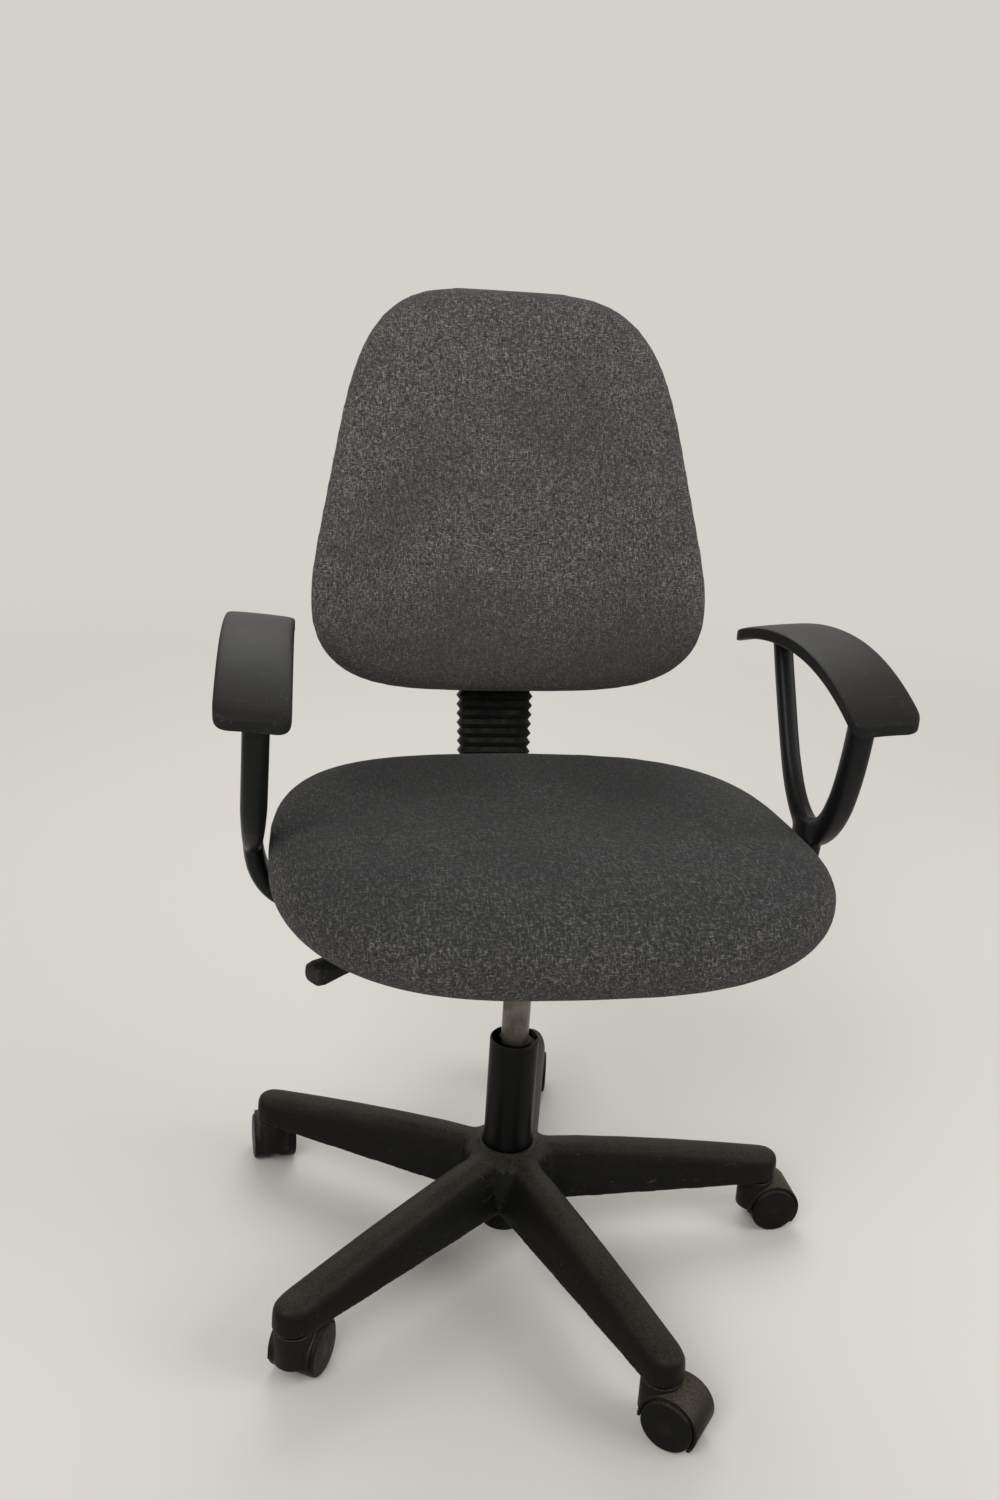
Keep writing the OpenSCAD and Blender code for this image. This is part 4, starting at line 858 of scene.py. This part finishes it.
def make_pad(name):
    """A cube cut into squares, hollowed from below and moved to its place on the pad."""
    bpy.ops.mesh.primitive_cube_add(size=2)
    pad = bpy.context.object
    pad.name = name
    edit(pad)
    bpy.ops.mesh.subdivide(number_cuts=23)
    choose(pad, "FACE", lambda f: f.normal.z < -0.9 and abs(f.calc_center_median().x) < 0.72
           and abs(f.calc_center_median().y) < 0.9)
    bpy.ops.mesh.extrude_region_move(TRANSFORM_OT_translate={"value": (0, 0, 0.8)})
    put_down()
    mould(pad, pad_place)
    modify(pad, "SUBSURF", levels=1, render_levels=1)
    settle(pad)
    smooth(pad, 50)
    return pad


put_down()
pad_left = make_pad("armpad_left")
pad_right = twin(pad_left, "armpad_right")
dress(pad_left, "seat", pad_plastic, "arm_plastic", "arm_pad_left")
dress(pad_right, "seat", pad_plastic, "arm_plastic", "arm_pad_right")

# %% [markdown]
# ## Base
#
# The base is one moulding with draft, ribs and rounded edges. Its solid is already exact inside
# and out, so a new one would only drift from it. A fine voxel skin over a copy rounds every edge
# by the same small radius, which is what a mould does. The upper faces are then relaxed much
# further, because feet rest there and the real edges are soft, while the ribs underneath keep
# their thickness.

# %% Base
def round_upper(piece, passes):
    """Relaxes only what faces up, so that the ribs underneath keep their thickness."""
    upper = piece.vertex_groups.new(name="upper")
    for point in piece.data.vertices:
        upper.add([point.index], min(1.0, max(0.0, point.normal.z * 1.5)), "REPLACE")
    modify(piece, "SMOOTH", factor=0.5, iterations=passes, vertex_group="upper")
    settle(piece)
    piece.vertex_groups.clear()


base = copy_of("star_base", "five_star_base")
voxel_skin(base, 2.0 * mm, 7)
smooth_all_over(base)
round_upper(base, 30)
dress(base, "base", base_nylon, "nylon", "star_base")

# %% [markdown]
# ## The smaller hardware
#
# Casters, column, levers, brackets and the back's shell keep their exact shapes. What a machined or
# moulded part never has is a perfectly sharp edge, and an edge without a highlight is what gives a
# model away. So each gets a welded copy with its flat faces joined up again and a narrow bevel, and
# it is shaded smooth up to a set angle. The rubber bellows hang between the bar and the back, so their
# points follow the one below and the other above, and the folds close up when the back is
# lowered.

# %% Soften the hardware
slots = {part["node"]: part["material_slot"] for part in frame["record"]["subparts"]}
flat_angle, edge_angle = math.radians(0.6), math.radians(32)


def soften(node, width):
    """A copy of a frame part with joined faces, bevelled edges and smooth shading."""
    piece = copy_of(node, node + "_finished")
    edit(piece)
    bpy.ops.mesh.dissolve_limited(angle_limit=flat_angle)
    put_down()
    if width:
        modify(piece, "BEVEL", width=width, segments=2 if width < mm else 4, limit_method="ANGLE",
               angle_limit=edge_angle, use_clamp_overlap=True, harden_normals=False)
        settle(piece)
    smooth(piece)
    body = body_of(frame["nodes"][node])[0]
    if node == "bellows":
        low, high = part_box(node)
        middle = (low[1] + high[1]) / 2
        body = {"low": "back_bar", "high": "backrest",
                "start": (0, middle, low[2] + 6 * mm), "end": (0, middle, high[2] - 4 * mm)}
    dress(piece, body, frame["nodes"][node].data.materials[0], slots[node], node)


# Bevel widths in millimetres, by how the names begin.
bevels = {
    "caster_hood": 0.5, "caster_wheel": 0.6, "caster_stem": 0.2, "caster_axle": 0.1, "column_tube": 0.3,
    "guide_bush": 0.3, "thrust_bearing": 0.1, "pressure_tube": 0.3, "piston_rod": 0.2, "bump_stop": 0.4,
    "mechanism": 0.5, "recline_axle": 0.2, "recline_spring": 0.0, "gas_lever": 0.0, "recline_lever": 0.0,
    "gas_paddle": 0.8, "recline_paddle": 0.8, "seat_board": 0.6, "seat_bolts": 0.2, "arm_bolts": 0.2,
    "pad_screws": 0.2, "back_bar": 0.5, "bellows": 2.2, "slide_bracket": 0.4, "height_knob": 0.6,
    "back_panel": 0.4, "back_shell": 0.6, "back_screws": 0.2,
}
for node in frame["nodes"]:
    width = next((w for start, w in bevels.items() if node.startswith(start)), None)
    if width is not None:
        soften(node, width * mm)

# %% [markdown]
# ## A plain room of light
#
# The chair stands on a pale floor that fades into the background, under broad soft lamps, as in
# an even daylit room. A textured room would compete with it. Two large lamps from the front and
# one from behind leave soft contact shadows under the casters.

# %% Floor and light
backdrop_tone = (0.66, 0.635, 0.6)
fade_from, fade_to = 0.9, 3.4


def studio_floor():
    """The pale floor, lit near the chair and of the backdrop's own tone far away."""
    bpy.ops.mesh.primitive_plane_add(size=30, location=(0, 0, 0))
    floor = bpy.context.object
    floor.name = "floor"
    finish = Finish("floor")
    distance = finish.node("VectorMath", {"operation": "LENGTH"}, {0: finish.place}, out="Value")
    far = distance.band(fade_from, fade_to)
    paint = finish.tree.nodes["Principled BSDF"]
    paint.inputs["Base Color"].default_value = (*backdrop_tone, 1)
    paint.inputs["Roughness"].default_value = 0.9
    glow = finish.node("Emission", inputs={"Color": (*backdrop_tone, 1)})
    both = finish.node("MixShader", inputs={0: far, 1: Flow(finish, paint.outputs[0]), 2: glow})
    finish.feed(finish.tree.nodes["Material Output"].inputs["Surface"], both)
    floor.data.materials.append(finish.material)


def lamp(name, place, size, power):
    """A round soft lamp that looks at the middle of the chair."""
    bpy.ops.object.light_add(type="AREA", location=place)
    light = bpy.context.object
    light.name = name
    light.data.shape = "DISK"
    light.data.size = size
    light.data.energy = power
    light.rotation_euler = (Vector((0, 0, 0.45)) - Vector(place)).to_track_quat("-Z", "Y").to_euler()


def room_light(tone, backdrop):
    """Even light from all round; looked at directly, it is the pale backdrop."""
    world = bpy.data.worlds.new("room")
    bpy.context.scene.world = world
    world.use_nodes = True
    nodes, links = world.node_tree.nodes, world.node_tree.links
    nodes["Background"].inputs["Color"].default_value = (*tone, 1)
    seen = nodes.new("ShaderNodeBackground")
    seen.inputs["Color"].default_value = (*backdrop, 1)
    rays, both = nodes.new("ShaderNodeLightPath"), nodes.new("ShaderNodeMixShader")
    share = rays.outputs["Is Camera Ray"]
    for ray in ("Is Glossy Ray", "Is Transmission Ray"):
        either = nodes.new("ShaderNodeMath")
        either.operation = "MAXIMUM"
        links.new(share, either.inputs[0])
        links.new(rays.outputs[ray], either.inputs[1])
        share = either.outputs[0]
    links.new(share, both.inputs[0])
    links.new(nodes["Background"].outputs[0], both.inputs[1])
    links.new(seen.outputs[0], both.inputs[2])
    links.new(both.outputs[0], nodes["World Output"].inputs["Surface"])


room_light((0.45, 0.445, 0.44), backdrop_tone)
studio_floor()
lamp("window", (-1.6, -2.4, 2.6), 2.2, 70)
lamp("fill", (2.4, -1.2, 1.8), 2.0, 30)
lamp("behind", (0.3, 2.2, 2.8), 2.4, 42)
bpy.context.scene.view_settings.view_transform = "Standard"
